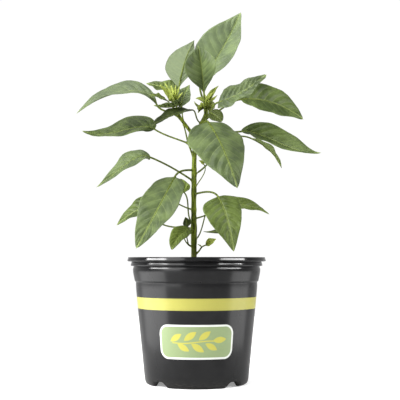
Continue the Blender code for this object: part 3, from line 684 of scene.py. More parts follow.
def stalk_part(given):
    """The stalk and the midrib as one tapered tube."""
    sheet, round_share, run = unit_grid(given["Face"], 15, given["Stalk Rows"])
    stalk = control_points(given, "Stalk")
    rib = control_points(given, "Rib")
    reach = run * 2.0
    u = reach.least(1.0)
    t = (reach - 1.0).most(0.0)
    on_rib = reach > 1.0
    centre = on_rib.between(on_bezier(stalk, u), on_bezier(rib, t))
    ahead = on_rib.between(bezier_ahead(stalk, u), bezier_ahead(rib, t)).unit()
    side, normal = blade_frame(given, ahead, t)
    # the stalk's foot is a little thicker, and the midrib tapers towards the tip
    taper = on_rib.between(1.12 - (u * 4.0).least(1.0) * 0.12, (1.0 - t) ** 0.8 * 0.93 + 0.07)
    # both ends are drawn together, and the midrib sinks into the blade
    closed = (run * 90.0).least(1.0) * ((1.0 - run) * 60.0).least(1.0)
    girth = given["Stalk Radius"] * taper * closed
    sink = girth * reach.rising(0.95, 1.25) * 0.55
    turn = round_share * (2 * math.pi)
    place = centre + side * (turn.cos() * girth) + normal * (turn.sin() * girth - sink)
    length = (rib[3] - rib[0]).long()
    sheet = store(sheet, "UVMap", round_share.joined(run), "FLOAT2", "CORNER")
    sheet = store(sheet, "blade_size", girth.joined(length, 0.0))
    sheet = store(sheet, "stalk", 1.0, "FLOAT", "FACE")
    return welded(placed(sheet, place))


# how ragged the margin is, the tip's half width, the groove over the midrib and the crumples' size
RAGGED, TIP_HALF_WIDTH = 0.14, 0.15 * MM
GROOVE_DEPTH, GROOVE_REACH, CRUMPLE_SCALE = 0.22 * MM, 1.6 * MM, 95.0


def blade_part(given):
    """The blade: a grid that is folded over itself at the margins."""
    sheet, round_share, t = unit_grid(given["Face"], given["Columns"], given["Rows"])
    rib = control_points(given, "Rib")
    # across the grid, raw runs from margin to margin over the face, and then back underneath
    raw = 1.0 - abs(round_share - 0.5) * 4.0
    sign = raw.math("SIGN")
    outward = abs(raw) ** 1.25
    across = sign * outward
    upper = round_share < 0.5
    length = (rib[3] - rib[0]).long()
    seed = given["Seed"]

    # the outline: one hump of a sine whose top is moved along, never narrower than the stalk
    hump = (t ** given["Widest Power"] * math.pi).sin().most(0.0) ** given["Fullness"]
    least = given["Stalk Radius"] * (1.0 - t) + t * TIP_HALF_WIDTH
    full = given["Width"] * hump * 0.5
    ragged = (t * 2.2).joined(sign * 0.7, seed).noise(2.5, 2.0) * RAGGED + (1.0 - RAGGED / 2)
    ends = (t * 40.0).least(1.0) * ((1.0 - t) * 40.0).least(1.0)
    half = (full * full + least * least) ** 0.5 * ragged * ends

    # what lifts it: the fold, waves at the margin, puffs between the veins, crumples and the groove
    fold = given["Fold"] * (t * 8.0).least((1.0 - t) * 6.0 + 0.3).least(1.0)
    out = half * outward * (given["Skew"] * sign + 1.0)
    phase = 3.9 - (across > 0.0) * 2.6
    wave = given["Wave"] * (outward * outward) * (t * 15.0 + phase).sin() * (t * math.pi).sin()
    puff = 0.5 - (vein_number(across, t) * (2 * math.pi)).cos() * 0.5
    calm = ((t * math.pi).sin() * 2.5).least(1.0)
    quilt = given["Quilting"] * puff * (outward * 4.0).least(1.0) * (1.0 - outward ** 4.0) * calm
    spot = (across * half).joined(t * length, seed)
    crumple = (spot.noise(CRUMPLE_SCALE, 2.0) - 0.5) * given["Crumple"] * (outward * 3.0).least(1.0) * calm
    groove = (1.0 - (outward * half).rising(0.0, GROOVE_REACH)) * calm * GROOVE_DEPTH
    lift = out * fold.sin() + wave + quilt + crumple - groove

    ahead = bezier_ahead(rib, t)
    side, normal = blade_frame(given, ahead, t)
    tilt = sign * fold * (outward * 5.0).least(1.0)
    up = normal * tilt.cos() - side * tilt.sin()
    body = (1.0 - outward ** 6.0).most(0.0) ** 0.5 * ends * given["Thickness"] * 0.5
    sideways = side * (sign * out * fold.cos())
    place = on_bezier(rib, t) + sideways + normal * lift + up * (body * (upper * 2.0 - 1.0))
    sheet = store(sheet, "UVMap", (across * 0.5 + 0.5).joined(t), "FLOAT2", "CORNER")
    sheet = store(sheet, "blade_size", half.joined(length, 1.0 - upper))
    return welded(placed(sheet, place))


leaf_tree, leaf_given = growing_tree("leaf", LEAF_SOCKETS)
leaf_whole = leaf_given["Face"].node(
    "GeometryNodeJoinGeometry", inputs={"Geometry": [blade_part(leaf_given), stalk_part(leaf_given)]}
)
leaf_mood = leaf_given["Tone"].joined(leaf_given["Warmth"], leaf_given["Seed"])
leaf_whole = store(leaf_whole, "leaf_mood", leaf_mood)
is_stalk = stored(leaf_whole, "stalk") > 0.5
end_tree(leaf_tree, leaf_whole, leaf_given["Blade Material"], leaf_given["Stalk Material"], is_stalk)
cell_says("a leaf tree of", len(leaf_tree.nodes), "nodes")

# %% [markdown]
# ## Where everything grows
#
# The stems are smooth lines through a few points, with a radius at evenly spaced places. Each leaf
# names its stem, the height of its node, the direction in which its stalk leaves, three or four
# points of its midrib and the form of its blade. The numbers come from the photograph: outlines gave
# the midribs and widths, and shading and overlaps gave the depths.

# %% Lines and numbers between points
def smooth_line(points, t):
    """A point at t, from 0 to 1, of the Catmull-Rom curve through these points."""
    spans = len(points) - 1
    at = min(max(t, 0.0), 1.0) * spans
    i = min(int(at), spans - 1)
    u = at - i
    b, c = points[i], points[i + 1]
    a = points[i - 1] if i else b * 2 - c
    d = points[i + 2] if i + 2 <= spans else c * 2 - b
    return 0.5 * (2 * b + (c - a) * u + (2 * a - 5 * b + 4 * c - d) * u**2 + (3 * b - a - 3 * c + d) * u**3)


def mix(values, t):
    """The value at t, from 0 to 1, between evenly spaced values."""
    at = min(max(t, 0.0), 1.0) * (len(values) - 1)
    i = min(int(at), len(values) - 2)
    return values[i] + (values[i + 1] - values[i]) * (at - i)


def cubic_through(places):
    """Four control points of the Bezier curve through three or four places in millimetres."""
    points = [mm(*p) for p in places]
    a, b, c, d = points[0], points[1], points[-2], points[-1]
    if len(points) == 3:
        pull = b * 2 - (a + d) / 2
        return [a, (a + pull * 2) / 3, (d + pull * 2) / 3, d]
    return [a, (b * 18 - a * 5 - c * 9 + d * 2) / 6, (a * 2 - b * 9 + c * 18 - d * 5) / 6, d]


STEMS = {
    "main": (
        [(-2.3, 0, 62), (-2.3, 0, 90), (-2.3, 0, 118), (-2.4, 0, 145), (-2.2, 0, 170), (-1.9, 0, 188),
         (-0.9, 0.3, 204), (2.0, 2.0, 210), (5.0, 3.2, 216), (7.6, 4.0, 222), (8.2, 4.2, 228)],
        [2.0, 2.35, 2.25, 2.1, 2.0, 1.95, 2.1, 1.8, 1.7, 1.55, 1.3],
    ),
    "left": (
        [(-0.9, 0, 200), (-5, -1.4, 207), (-10, -3.4, 213.5), (-15, -5.2, 220), (-18, -6.4, 226.5)],
        [1.6, 1.5, 1.45, 1.4, 1.2],
    ),
    "side": (
        [(-2.2, 0, 183), (-4.2, 2.6, 190), (-7.4, 5.0, 199.5), (-9.6, 7.4, 209), (-12.0, 10.0, 219)],
        [0.9, 0.8, 0.75, 0.65, 0.6],
    ),
}


def stem_line(stem):
    return [mm(*p) for p in STEMS[stem][0]]


def on_stem(stem, height):
    """The point of the stem's centre line at a height, its direction and its radius there."""
    line = stem_line(stem)
    low, high = 0.0, 1.0
    for _ in range(40):
        middle = (low + high) / 2
        if smooth_line(line, middle).z < height:
            low = middle
        else:
            high = middle
    ahead = smooth_line(line, low + 0.01) - smooth_line(line, low - 0.01)
    return smooth_line(line, low), ahead.normalized(), mix(STEMS[stem][1], low) * MM


cell_says(len(STEMS), "stems")


# %% What a leaf knows about itself
@dataclass
class Leaf:
    """One leaf, in millimetres and degrees. Tone lightens its skin. Warmth yellows it where it is above
    0, and below 0 it mixes a pale grey green into it instead, a painted sheen."""

    name: str
    stem: str
    node: float
    leave: tuple
    midrib: tuple
    width: float
    face: tuple
    fold: float = 14.0
    twist: float = 0.0
    skew: float = 0.0
    wave: float = 0.8
    widest: float = 0.36
    fullness: float = 1.0
    petiole: float = 0.8
    small: bool = False
    tone: float = 0.0
    warmth: float = 0.0
    quilting: float = 0.75
    crumple: float = 1.3

    def peg(self):
        """The line of the stump on the stem that carries the stalk, from inside the stem."""
        start, along, radius = on_stem(self.stem, self.node * MM)
        way = Vector(self.leave).normalized()
        across = max(way.cross(along).length, 0.2)
        reach = radius + 0.6 * MM + self.petiole * MM * abs(way.dot(along))
        return start, start + way * (reach / across)

    def stalk(self):
        """Four control points of the stalk, whose foot is sunk a little into its stump."""
        _, end = self.peg()
        way = Vector(self.leave).normalized()
        foot = end - way * 0.7 * MM
        controls = cubic_through(self.midrib)
        third = (controls[0] - foot).length / 3
        ahead = (controls[1] - controls[0]).normalized()
        return [foot, foot + way * third, controls[0] - ahead * third, controls[0]]


cell_says("a leaf's own record")

# %% The 27 leaves
LEAVES = [
    Leaf("leaf_top_back", "main", 224.0, (0.05, 0.75, 0.65),
         ((4.1, 10, 252.9), (23.0, 18, 283.3), (38.3, 20, 314.4)), 41,
         (-0.30, -0.92, 0.25), fold=26, twist=-8, skew=-0.04, widest=0.42, petiole=0.85,
         tone=0.20, warmth=-0.25),
    Leaf("leaf_top_front", "main", 221.5, (-0.15, -0.75, 0.62),
         ((6.1, -7, 238.2), (4.2, -12, 258.5), (1.2, -9, 278.5)), 34,
         (-0.15, -0.97, 0.12), fold=40, twist=8, widest=0.50, fullness=1.5, tone=0.12, warmth=-0.10),
    Leaf("leaf_top_left", "left", 224.5, (0.10, 0.85, 0.50),
         ((-14.9, 6, 245.7), (-9.6, 10, 269.6), (-1.9, 13, 288.2)), 30,
         (0.35, 0.85, -0.30), fold=10, twist=10, skew=0.36, widest=0.44, fullness=1.3, petiole=0.75,
         tone=-0.38, warmth=-0.40),
    Leaf("leaf_right_crinkled", "main", 217.0, (0.80, -0.50, 0.35),
         ((17.6, -13, 229.6), (37.2, -22, 236.6), (56.4, -30, 249.3)), 26,
         (-0.25, -0.70, 0.66), fold=10, wave=1.5, widest=0.26, fullness=0.55, petiole=0.75,
         tone=-0.05, warmth=-0.16, quilting=1.9, crumple=4.0),
    Leaf("leaf_right_dark", "main", 219.5, (0.75, 0.60, 0.30),
         ((37.2, 20, 238.0), (65.6, 31, 237.4), (93.9, 40, 223.9)), 34,
         (0.16, -0.84, 0.52), fold=12, twist=-10, widest=0.44, fullness=0.80, tone=0.15),
    Leaf("leaf_right_long", "main", 209.5, (0.85, 0.45, -0.10),
         ((37.1, 8, 208.6), (57.7, 8, 204.0), (80.2, -2, 192.6), (102.5, -12, 188.3)), 31,
         (0.05, -0.70, 0.72), fold=26, twist=-8, skew=0.10, widest=0.41, fullness=1.1),
    Leaf("leaf_right_hanging", "main", 171.0, (0.72, 0.42, 0.50),
         ((46.9, 42.5, 207.9), (64.2, 49.5, 198.2), (75.8, 53.5, 181.9)), 20,
         (0.64, 0.10, 0.76), fold=10, petiole=0.7, warmth=0.30),
    Leaf("leaf_front_broad", "main", 202.0, (0.20, -0.90, 0.35),
         ((9.4, -20, 212.4), (21.2, -43, 187.5), (31.7, -52.5, 155.5)), 46.5,
         (0.14, -0.80, 0.58), fold=-15, skew=0.02, widest=0.29, fullness=0.82, wave=1.2, petiole=0.95,
         tone=-0.04, warmth=-0.10),
    Leaf("leaf_left_arched", "left", 219.5, (-0.88, -0.10, 0.40),
         ((-32.8, -8, 228.4), (-48.6, -8, 239.7), (-74.0, -2, 237.6), (-101.6, 5, 223.1)), 26,
         (-0.05, -0.58, 0.81), fold=18, twist=6, widest=0.54, fullness=1.05, tone=-0.02, warmth=-0.22),
    Leaf("leaf_cluster_back", "side", 214.0, (-0.15, 0.45, 0.88),
         ((-17.7, 14, 243.4), (-29.9, 20, 248.6), (-44.0, 25, 253.1)), 23,
         (0.15, -0.62, 0.76), fold=14, petiole=0.55, tone=0.15, warmth=0.15),
    Leaf("leaf_cluster_right", "left", 221.0, (0.85, -0.20, 0.48),
         ((-13.2, -4.5, 227.8), (-10.8, -1, 237.4), (-5.8, 2, 247.5)), 15,
         (-0.25, -0.95, 0.15), fold=14, petiole=0.55, small=True, tone=0.25, warmth=-0.15),
    Leaf("leaf_cluster_front", "left", 223.5, (0.10, -0.95, 0.28),
         ((-12.4, -15, 229.2), (-23.2, -20, 224.6), (-34.9, -26, 225.0)), 17,
         (-0.15, -0.05, 0.98), fold=24, petiole=0.6, warmth=0.1),
    # painted shade: this leaf's low tone darkens it for the shade it lies in under the cluster
    Leaf("leaf_under_cluster", "main", 214.5, (-0.80, -0.45, 0.40),
         ((-4.0, -12, 223.5), (-19.0, -25, 217.4), (-35.6, -37, 206.4)), 19,
         (0.00, -0.34, 0.94), fold=16, fullness=0.80, petiole=0.6, tone=-0.60),
    Leaf("leaf_cluster_left", "left", 225.0, (-0.75, -0.50, 0.40),
         ((-24.4, -12, 231.4), (-31.1, -18, 233.2), (-37.9, -21, 234.6)), 10,
         (0.10, -0.60, 0.79), fold=16, petiole=0.5, small=True, warmth=0.3),
    Leaf("leaf_left_long", "side", 198.0, (-0.80, 0.40, 0.38),
         ((-35.4, 13, 211.0), (-53.6, 17, 212.9), (-76.1, 20, 208.2), (-98.8, 20, 211.2)), 30,
         (0.02, -0.62, 0.78), fold=14, twist=14, petiole=0.7, fullness=0.9),
    Leaf("leaf_left_drooping", "main", 165.5, (-0.80, -0.30, 0.52),
         ((-37.1, -17, 183.6), (-49.4, -22, 182.6), (-62.2, -27, 172.4), (-80.0, -32, 157.8)), 25,
         (-0.30, -0.60, 0.74), fold=12, twist=6, skew=-0.1, petiole=0.75, tone=0.05, warmth=-0.12),
    Leaf("leaf_left_broad", "main", 175.0, (-0.70, -0.66, -0.05),
         ((-17.5, -18, 168.0), (-32.0, -38, 137.6), (-46.5, -52, 109.0)), 33,
         (-0.22, -0.84, 0.48), fold=10, twist=-4, wave=1.0, petiole=0.85, widest=0.33, fullness=0.82,
         warmth=-0.10),
    # painted light: this leaf's high tone lightens it where it lies in shade
    Leaf("leaf_left_pale", "main", 129.0, (-0.55, -0.45, 0.75),
         ((-10.2, -2, 156.0), (-19.8, 5, 162.2), (-32.2, 14, 162.9)), 20,
         (0.30, -0.80, 0.52), fold=10, widest=0.28, fullness=0.62, petiole=0.6, tone=0.7, warmth=0.45),
    Leaf("leaf_left_low", "main", 142.0, (-0.85, 0.40, 0.20),
         ((-30.9, 10, 150.4), (-50.1, 15, 142.6), (-68.2, 18, 129.6)), 25,
         (-0.28, -0.62, 0.74), fold=12, petiole=0.6, tone=0.02, warmth=0.06),
    Leaf("leaf_small_front", "main", 124.0, (-0.30, -0.90, 0.25),
         ((-5.0, -8, 125.1), (-13.9, -14, 120.4), (-20.0, -18, 108.4)), 16,
         (-0.32, -0.82, 0.45), fold=12, wave=0.4, petiole=0.55, widest=0.40, fullness=0.72, small=True,
         tone=0.38, warmth=0.35),
    Leaf("leaf_left_back", "main", 126.5, (-0.80, 0.55, 0.10),
         ((-30.3, 18, 131.3), (-40.2, 27, 133.8), (-51.1, 36, 129.8)), 17,
         (-0.20, -0.20, 0.95), fold=14, petiole=0.65, warmth=0.1),
    Leaf("leaf_small_upright", "main", 120.0, (-0.55, -0.50, 0.70),
         ((-7.2, -3.4, 127.9), (-8.4, -4.5, 131.8), (-9.2, -4.8, 135.8)), 8,
         (0.35, -0.90, 0.10), fold=14, wave=0.2, petiole=0.4, small=True, tone=-0.1),
    Leaf("leaf_right_broad", "main", 154.8, (0.60, -0.78, 0.10),
         ((17.2, -22, 151.6), (24.2, -32, 134.0), (29.4, -38, 106.6)), 31,
         (0.10, -0.90, 0.38), fold=7, skew=0.14, widest=0.34, fullness=0.90, wave=1.0, petiole=0.8,
         warmth=0.12),
    Leaf("leaf_right_low", "main", 134.5, (0.80, 0.50, 0.20),
         ((14, 11, 141), (38, 20, 147), (62.6, 26, 139.4)), 23,
         (0.10, -0.60, 0.79), fold=14, twist=-8, petiole=0.65, tone=0.25, warmth=0.25),
    Leaf("leaf_right_curled", "main", 115.5, (0.62, 0.42, 0.66),
         ((13.9, 19, 143.2), (21.5, 18, 127.5), (5.3, 9, 124.2)), 9,
         (0.75, -0.25, 0.60), fold=8, wave=0.3, petiole=0.55, small=True, tone=-0.1),
    Leaf("leaf_right_round", "main", 213.5, (0.75, -0.62, 0.20),
         ((10.3, -8, 222.5), (15.6, -11, 218.8), (20.6, -14, 213.4)), 12.5,
         (0.15, -0.92, 0.30), fold=12, wave=0.2, widest=0.48, fullness=0.60, petiole=0.5, small=True,
         tone=-0.50, warmth=0.35),
    Leaf("leaf_axil", "main", 158.5, (0.50, -0.35, 0.80),
         ((6.1, -5, 179.2), (4.1, -6, 181.1), (1.8, -7, 182.3)), 3.4,
         (0.30, -0.85, 0.40), fold=12, wave=0.1, petiole=0.4, small=True, warmth=0.3),
]
cell_says(len(LEAVES), "leaves, the widest", max(leaf.width for leaf in LEAVES), "mm")

# %% [markdown]
# ## Growing the leaves
#
# Each leaf becomes one piece that stands for its plain solid. A blade on the real plant is about a
# third of a millimetre thick; it is made a little thicker here, so that its rim catches light.

# %% Grow and hand over
# what a leaf knows of its blade's form, and what a blade has where nothing is given, in millimetres
FORM = (
    "fold", "twist", "skew", "wave", "widest", "fullness", "petiole", "tone", "warmth", "quilting", "crumple",
)
PLAIN_BLADE = {"twist": 0.0, "skew": 0.0, "quilting": 0.15, "crumple": 0.2, "thickness": 0.42}


def hand_over(piece, node):
    """Hangs a finished piece on the only body and hides the solid that it stands for."""
    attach(piece, "root")
    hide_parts(node)


def grow_leaf(name, stalk, rib, width, face, seed, blade, stalk_skin, size, **form):
    """Runs the leaf tree. Form holds what differs from a plain blade."""
    columns, rows, stalk_rows = size
    form = {label.capitalize(): value for label, value in {**PLAIN_BLADE, **form}.items()}
    values = {
        **{f"Stalk {i}": tuple(p) for i, p in enumerate(stalk)},
        **{f"Rib {i}": tuple(p) for i, p in enumerate(rib)},
        **{label: math.radians(form[label]) for label in ("Fold", "Twist")},
        **{label: float(form[label]) for label in ("Skew", "Fullness", "Tone", "Warmth")},
        **{label: form[label] * MM for label in ("Wave", "Thickness", "Quilting", "Crumple")},
        "Face": tuple(face),
        "Width": width * MM,
        "Widest Power": math.log(0.5) / math.log(form["Widest"]),
        "Stalk Radius": form["Petiole"] * MM,
        "Seed": float(seed),
        "Columns": columns,
        "Rows": rows,
        "Stalk Rows": stalk_rows,
        "Blade Material": blade,
        "Stalk Material": stalk_skin,
    }
    return outwards(grown(name, leaf_tree, lines_mesh(name, [stalk]), values))


# columns and rows of a blade's grid and rows of its stalk's, for large and for small leaves
FINE, SMALL = (85, 73, 61), (53, 41, 41)
leaf_faces = 0
for number, leaf in enumerate(LEAVES):
    young = leaf.name == "leaf_axil"
    piece = grow_leaf(
        leaf.name + "_blade",
        leaf.stalk(),
        cubic_through(leaf.midrib),
        leaf.width,
        leaf.face,
        1.7 * number + 0.3,
        YOUNG_SKIN if young else LEAF_SKIN,
        STALK_SKIN,
        SMALL if leaf.small else FINE,
        **{label: getattr(leaf, label) for label in FORM},
    )
    hand_over(piece, leaf.name)
    leaf_faces += len(piece.data.polygons)
cell_says(len(LEAVES), "leaves of", leaf_faces, "faces")

# %% [markdown]
# ## The stem
#
# The stem is round with faint ridges, swells at each node and carries a short stump under each leaf
# stalk. A lathe can't make it, because it bends and forks. Each length is swept along its own line
# by a second tree, whose input is a carrier with a girth at each point. The lengths cross at the
# forks, so a voxel remesh fuses them into one skin and a little smoothing rounds the joins.

# %% Sweep along lines
RIDGES = 5
cane_tree, cane_given = growing_tree("cane", {"Sides": "Int", "Ridge": "Float", "Material": "Material"})
cane_start = cane_given["Geometry"]
cane_line = cane_start.node("GeometryNodeMeshToCurve", inputs={"Mesh": cane_start})
girth = stored(cane_start, "girth")
ring_sizes = {"Resolution": cane_given["Sides"], "Radius": 1.0}
ring = cane_start.node("GeometryNodeCurvePrimitiveCircle", inputs=ring_sizes)
ring_share = cane_start.node("GeometryNodeSplineParameter")
ring_place = cane_start.node("GeometryNodeInputPosition")
ridged = ring_place * ((ring_share * (RIDGES * 2 * math.pi)).cos() * cane_given["Ridge"] + 1.0)
cane_skin = cane_start.node(
    "GeometryNodeCurveToMesh",
    inputs={"Curve": cane_line, "Profile Curve": placed(ring, ridged), "Scale": girth, "Fill Caps": True},
)
end_tree(cane_tree, cane_skin, cane_given["Material"])
cell_says("a cane tree of", len(cane_tree.nodes), "nodes")


# %% Grow the stem
# how much thicker a stem is at a leaf's node, how far the swelling reaches, and its greatest radius
SWELLING, SWELLING_REACH, THICKEST = 0.16, 1.9 * MM, 2.7
# points along the main stem, along the other two and along a stump
MAIN_STEPS, SIDE_STEPS, STUMP_STEPS = 150, 60, 10
# stumps of the two side shoots near the soil: inner end, outer end and radius
SHOOT_PEGS = [((-2.3, 0, 103.5), (1.0, -1.2, 106.8), 0.8), ((-2.3, 0, 110.5), (-5.6, -0.8, 112.2), 0.7)]


def swelling(stem, place):
    """How much thicker a stem is near its leaves' nodes."""
    nodes = [on_stem(leaf.stem, leaf.node * MM)[0] for leaf in LEAVES if leaf.stem == stem]
    return 1.0 + sum(SWELLING * math.exp(-(((place - node).length / SWELLING_REACH) ** 2)) for node in nodes)


def stem_lines():
    """The lines of the stems and stumps, and the girth at each of their points."""
    lines, girths = [], []
    for stem, (_, radii) in STEMS.items():
        last = (MAIN_STEPS if stem == "main" else SIDE_STEPS) - 1
        line = [smooth_line(stem_line(stem), i / last) for i in range(last + 1)]
        lines.append(line)
        girths += [min(mix(radii, i / last) * swelling(stem, p), THICKEST) * MM for i, p in enumerate(line)]
    # a stump is wider at its inner end, by the last number
    stumps = [(*leaf.peg(), (leaf.petiole * 1.22 + 0.1) * MM, 0.45) for leaf in LEAVES]
    stumps += [(mm(*start), mm(*end), radius * MM, 0.35) for start, end, radius in SHOOT_PEGS]
    last = STUMP_STEPS - 1
    for start, end, radius, flare in stumps:
        lines.append([start.lerp(end, i / last) for i in range(STUMP_STEPS)])
        girths += [radius * (1.0 + flare - flare * i / last) for i in range(STUMP_STEPS)]
    return lines, girths


lines, girths = stem_lines()
stem = grown(
    "stem_growth",
    cane_tree,
    lines_mesh("stem_lines", lines, girths),
    {"Sides": 30, "Ridge": 0.035, "Material": STEM_SKIN},
)
outwards(stem)
remesh = stem.modifiers.new("fuse", "REMESH")
remesh.mode = "VOXEL"
remesh.voxel_size = 0.32 * MM
remesh.use_smooth_shade = True
soften = stem.modifiers.new("soften", "SMOOTH")
soften.factor = 0.5
soften.iterations = 5
kept(stem)
hand_over(stem, "stem")
cell_says("a stem of", len(stem.data.polygons), "faces")

# %% [markdown]
# ## Growing tips and side shoots
#
# At each tip young leaves crowd round a cluster of tiny buds. They are the same leaf as before at a
# smaller size, so the leaf tree makes them too, in a brighter and yellower skin. The buds repeat, so
# a third tree sets one small ribbed egg at each point of a carrier, as large as that point's girth.

# %% A bud at each point
EGG_RIBS = 5.0
bud_tree, bud_given = growing_tree("buds", {"Stretch": "Float", "Material": "Material"})
bud_start = bud_given["Geometry"]
egg = bud_start.node("GeometryNodeMeshUVSphere", inputs={"Segments": 20, "Rings": 12, "Radius": 1.0})
egg_place = bud_start.node("GeometryNodeInputPosition")
egg_turn = egg_place.part(1).math("ARCTAN2", egg_place.part(0))
egg_waist = (egg_turn * EGG_RIBS).cos() * 0.07 + 1.0 - egg_place.part(2) * 0.22
egg_height = egg_place.part(2) * bud_given["Stretch"]
egg_shape = (egg_place.part(0) * egg_waist).joined(egg_place.part(1) * egg_waist, egg_height)
bud_points = bud_start.node("GeometryNodeMeshToPoints", inputs={"Mesh": bud_start})
bud_girth = stored(bud_start, "girth")
buds_set = bud_start.node(
    "GeometryNodeInstanceOnPoints",
    inputs={"Points": bud_points, "Instance": placed(egg, egg_shape), "Scale": bud_girth},
)
end_tree(bud_tree, buds_set, bud_given["Material"])
cell_says("a bud tree of", len(bud_tree.nodes), "nodes")

# %% The shoots' young leaves and buds
# young leaf: start, a point half way, tip, width, the direction it faces and, for some, a tone
# bud: its place and its radius
SHOOTS = {
    "shoot_tip_left": (
        [
            ((-19, -7, 231), (-25, -8, 238), (-30.5, -9, 245.5), 7, (0.5, -0.75, 0.45), 0.12),
            ((-18.8, -7, 231.5), (-20.5, -9, 238), (-21, -9, 245), 5, (0.1, -0.9, 0.1), 0.12),
            ((-18, -6.5, 231.5), (-16, -7, 238), (-14, -8, 244), 4.5, (-0.6, -0.75, 0.2), 0.12),
            ((-19.5, -7.5, 230.5), (-23, -8.6, 235), (-26.5, -9, 239), 4.5, (0.1, -0.8, 0.5), 0.12),
            ((-19, -8, 230.5), (-20.5, -13, 235), (-22, -17, 240.5), 5, (0.2, -0.55, 0.8), 0.12),
            ((-17.6, -7.5, 230.5), (-14.5, -11, 234), (-11.5, -13, 238), 4.5, (-0.35, -0.6, 0.7), 0.12),
            ((-18.6, -7.0, 231.5), (-23.0, -6.0, 240.0), (-26.5, -4.5, 248.0), 3.4, (0.3, -0.9, 0.2), 0.12),
            ((-18.2, -6.4, 231.5), (-18.2, -5.0, 239.5), (-17.2, -3.6, 246.5), 3.2, (0.0, -0.9, 0.2), 0.12),
            ((-18.8, -7.6, 231.0), (-18.0, -11.0, 236.5), (-17.4, -13.0, 242.0), 3.0, (-0.1, -0.7, 0.6), 0.12),
        ],
        [
            (-18.6, -6.6, 229.9, 2.3), (-22, -9, 233.2, 1.5), (-19.5, -9.2, 234.0, 1.3),
            (-17.5, -8.6, 233.6, 1.2), (-21, -6.5, 234.4, 1.3), (-19.4, -7.8, 236.0, 1.1),
            (-23.3, -8.4, 235.8, 0.9), (-16.6, -7.0, 232.6, 1.1),
        ],
    ),
    "shoot_tip_right": (
        [
            ((9.4, 3.6, 232), (12.6, 3.4, 239.5), (18.6, 3.4, 247), 6.0, (-0.3, -0.9, 0.2), -0.25),
            ((9.8, 4.4, 231.6), (13.5, 5.5, 235), (17.5, 6, 239.5), 3.6, (-0.4, -0.8, 0.4), 0.15),
            ((7.3, 3.2, 232.2), (3.4, 1.5, 235.2), (-1, 0.5, 235.2), 4.2, (0.1, -0.75, 0.65)),
            ((7.2, 3.6, 230.6), (2.2, 0.2, 227.6), (-2.2, -3, 232.6), 5.0, (0.35, -0.80, 0.45), -0.45),
            ((9.6, 3.0, 230.2), (12.6, 0.4, 229.6), (14.6, -2.4, 225.8), 7.0, (0.1, -0.85, 0.45), -0.55),
            ((7.0, 5.2, 231.8), (3.6, 8.0, 235.0), (-0.5, 10.0, 237.5), 4.4, (0.4, -0.5, 0.7)),
            ((7.6, 3.8, 229.6), (3.8, 1.8, 227.0), (1.0, -0.6, 222.8), 4.0, (0.1, -0.85, 0.45), -0.55),
            ((9.2, 3.2, 229.6), (11.0, 0.8, 226.0), (12.0, -1.6, 221.8), 5.0, (0.1, -0.85, 0.45), -0.60),
            ((8.6, 3.6, 232.5), (10.6, 2.0, 237.0), (13.4, 0.8, 241.0), 3.0, (-0.4, -0.8, 0.3)),
            ((8.0, 4.6, 232.0), (7.6, 7.0, 236.5), (6.4, 9.0, 241.0), 3.4, (0.1, -0.5, 0.5)),
        ],
        [
            (8.3, 4.2, 231.2, 2.2), (5.4, 1.0, 229.6, 1.6), (1.8, -1.2, 227.4, 1.5), (10.2, 1.2, 232.4, 1.4),
            (7.8, 1.6, 233.4, 1.3), (9.2, 2.2, 235.2, 1.0), (6.2, 3.0, 234.6, 1.1), (4.0, 0.4, 230.6, 1.2),
            (3.6, -1.6, 228.6, 1.2), (7.4, 1.0, 230.6, 1.5), (9.6, 1.6, 229.6, 1.4),
        ],
    ),
    "shoot_low_right": (
        [
            ((8.4, -4.2, 112.6), (12.0, -5.8, 114.8), (16.1, -7.0, 117.8), 8.0, (-0.3, -0.8, 0.5)),
            ((8.0, -4.0, 112.6), (9.0, -5.6, 115.6), (10.5, -7.2, 118.6), 3.0, (0.3, -0.9, 0.3)),
            ((4.6, -2.5, 111.0), (2.8, -3.4, 112.2), (0.9, -4.4, 113.6), 1.6, (0.3, -0.7, 0.6)),
        ],
        [(8.2, -4.1, 112.8, 0.7)],
    ),
    "shoot_low_left": (
        [
            ((-10.6, -2.6, 119.0), (-12.6, -3.2, 122.6), (-16.2, -4.4, 125.6), 3.6, (-0.2, -0.7, 0.6)),
            ((-8.5, 0.6, 121.0), (-9.6, 1.4, 124.5), (-13.5, 2.2, 127.6), 3.2, (-0.3, -0.7, 0.6)),
        ],
        [(-10.7, -2.6, 119.2, 0.6), (-8.6, 0.6, 121.2, 0.55)],
    ),
}
# thin twigs that carry the low shoots: a few points and the radius at both ends
TWIGS = {
    "shoot_low_right": [
        ([(-1.2, -0.4, 104.3), (1.9, -1.5, 107.7), (4.6, -2.6, 111.2), (9.0, -4.4, 113.2)], 0.8, 0.5),
    ],
    "shoot_low_left": [
        ([(-5.0, -0.7, 111.9), (-6.6, -1.1, 112.8), (-9.0, -2.0, 115.6), (-10.8, -2.6, 119.6)], 0.7, 0.42),
        ([(-5.0, -0.7, 111.9), (-6.8, -0.7, 113.4), (-7.6, 0.0, 116.6), (-8.6, 0.6, 121.5)], 0.7, 0.42),
    ],
}
# the grids of a young leaf, as above, and the points along a twig
YOUNG_SIZE, TWIG_STEPS = (37, 27, 27), 24


def young_leaf(name, number, start, via, tip, width, face, tone=0.0):
    """A leaf of a tip, with no stalk. Its number varies its tone and warmth a little."""
    rib = cubic_through((start, via, tip))
    return grow_leaf(
        name, [rib[0]] * 4, rib, width, face, 31.0 + 2.3 * number, YOUNG_SKIN, BUD_SKIN, YOUNG_SIZE,
        fold=26.0, widest=0.40, fullness=0.95, petiole=0.34, thickness=0.4, wave=0.25,
        tone=tone + 0.1 * math.sin(number * 2.4), warmth=(0.25 + 0.2 * math.sin(number * 1.7)) * (1.0 + tone),
    )


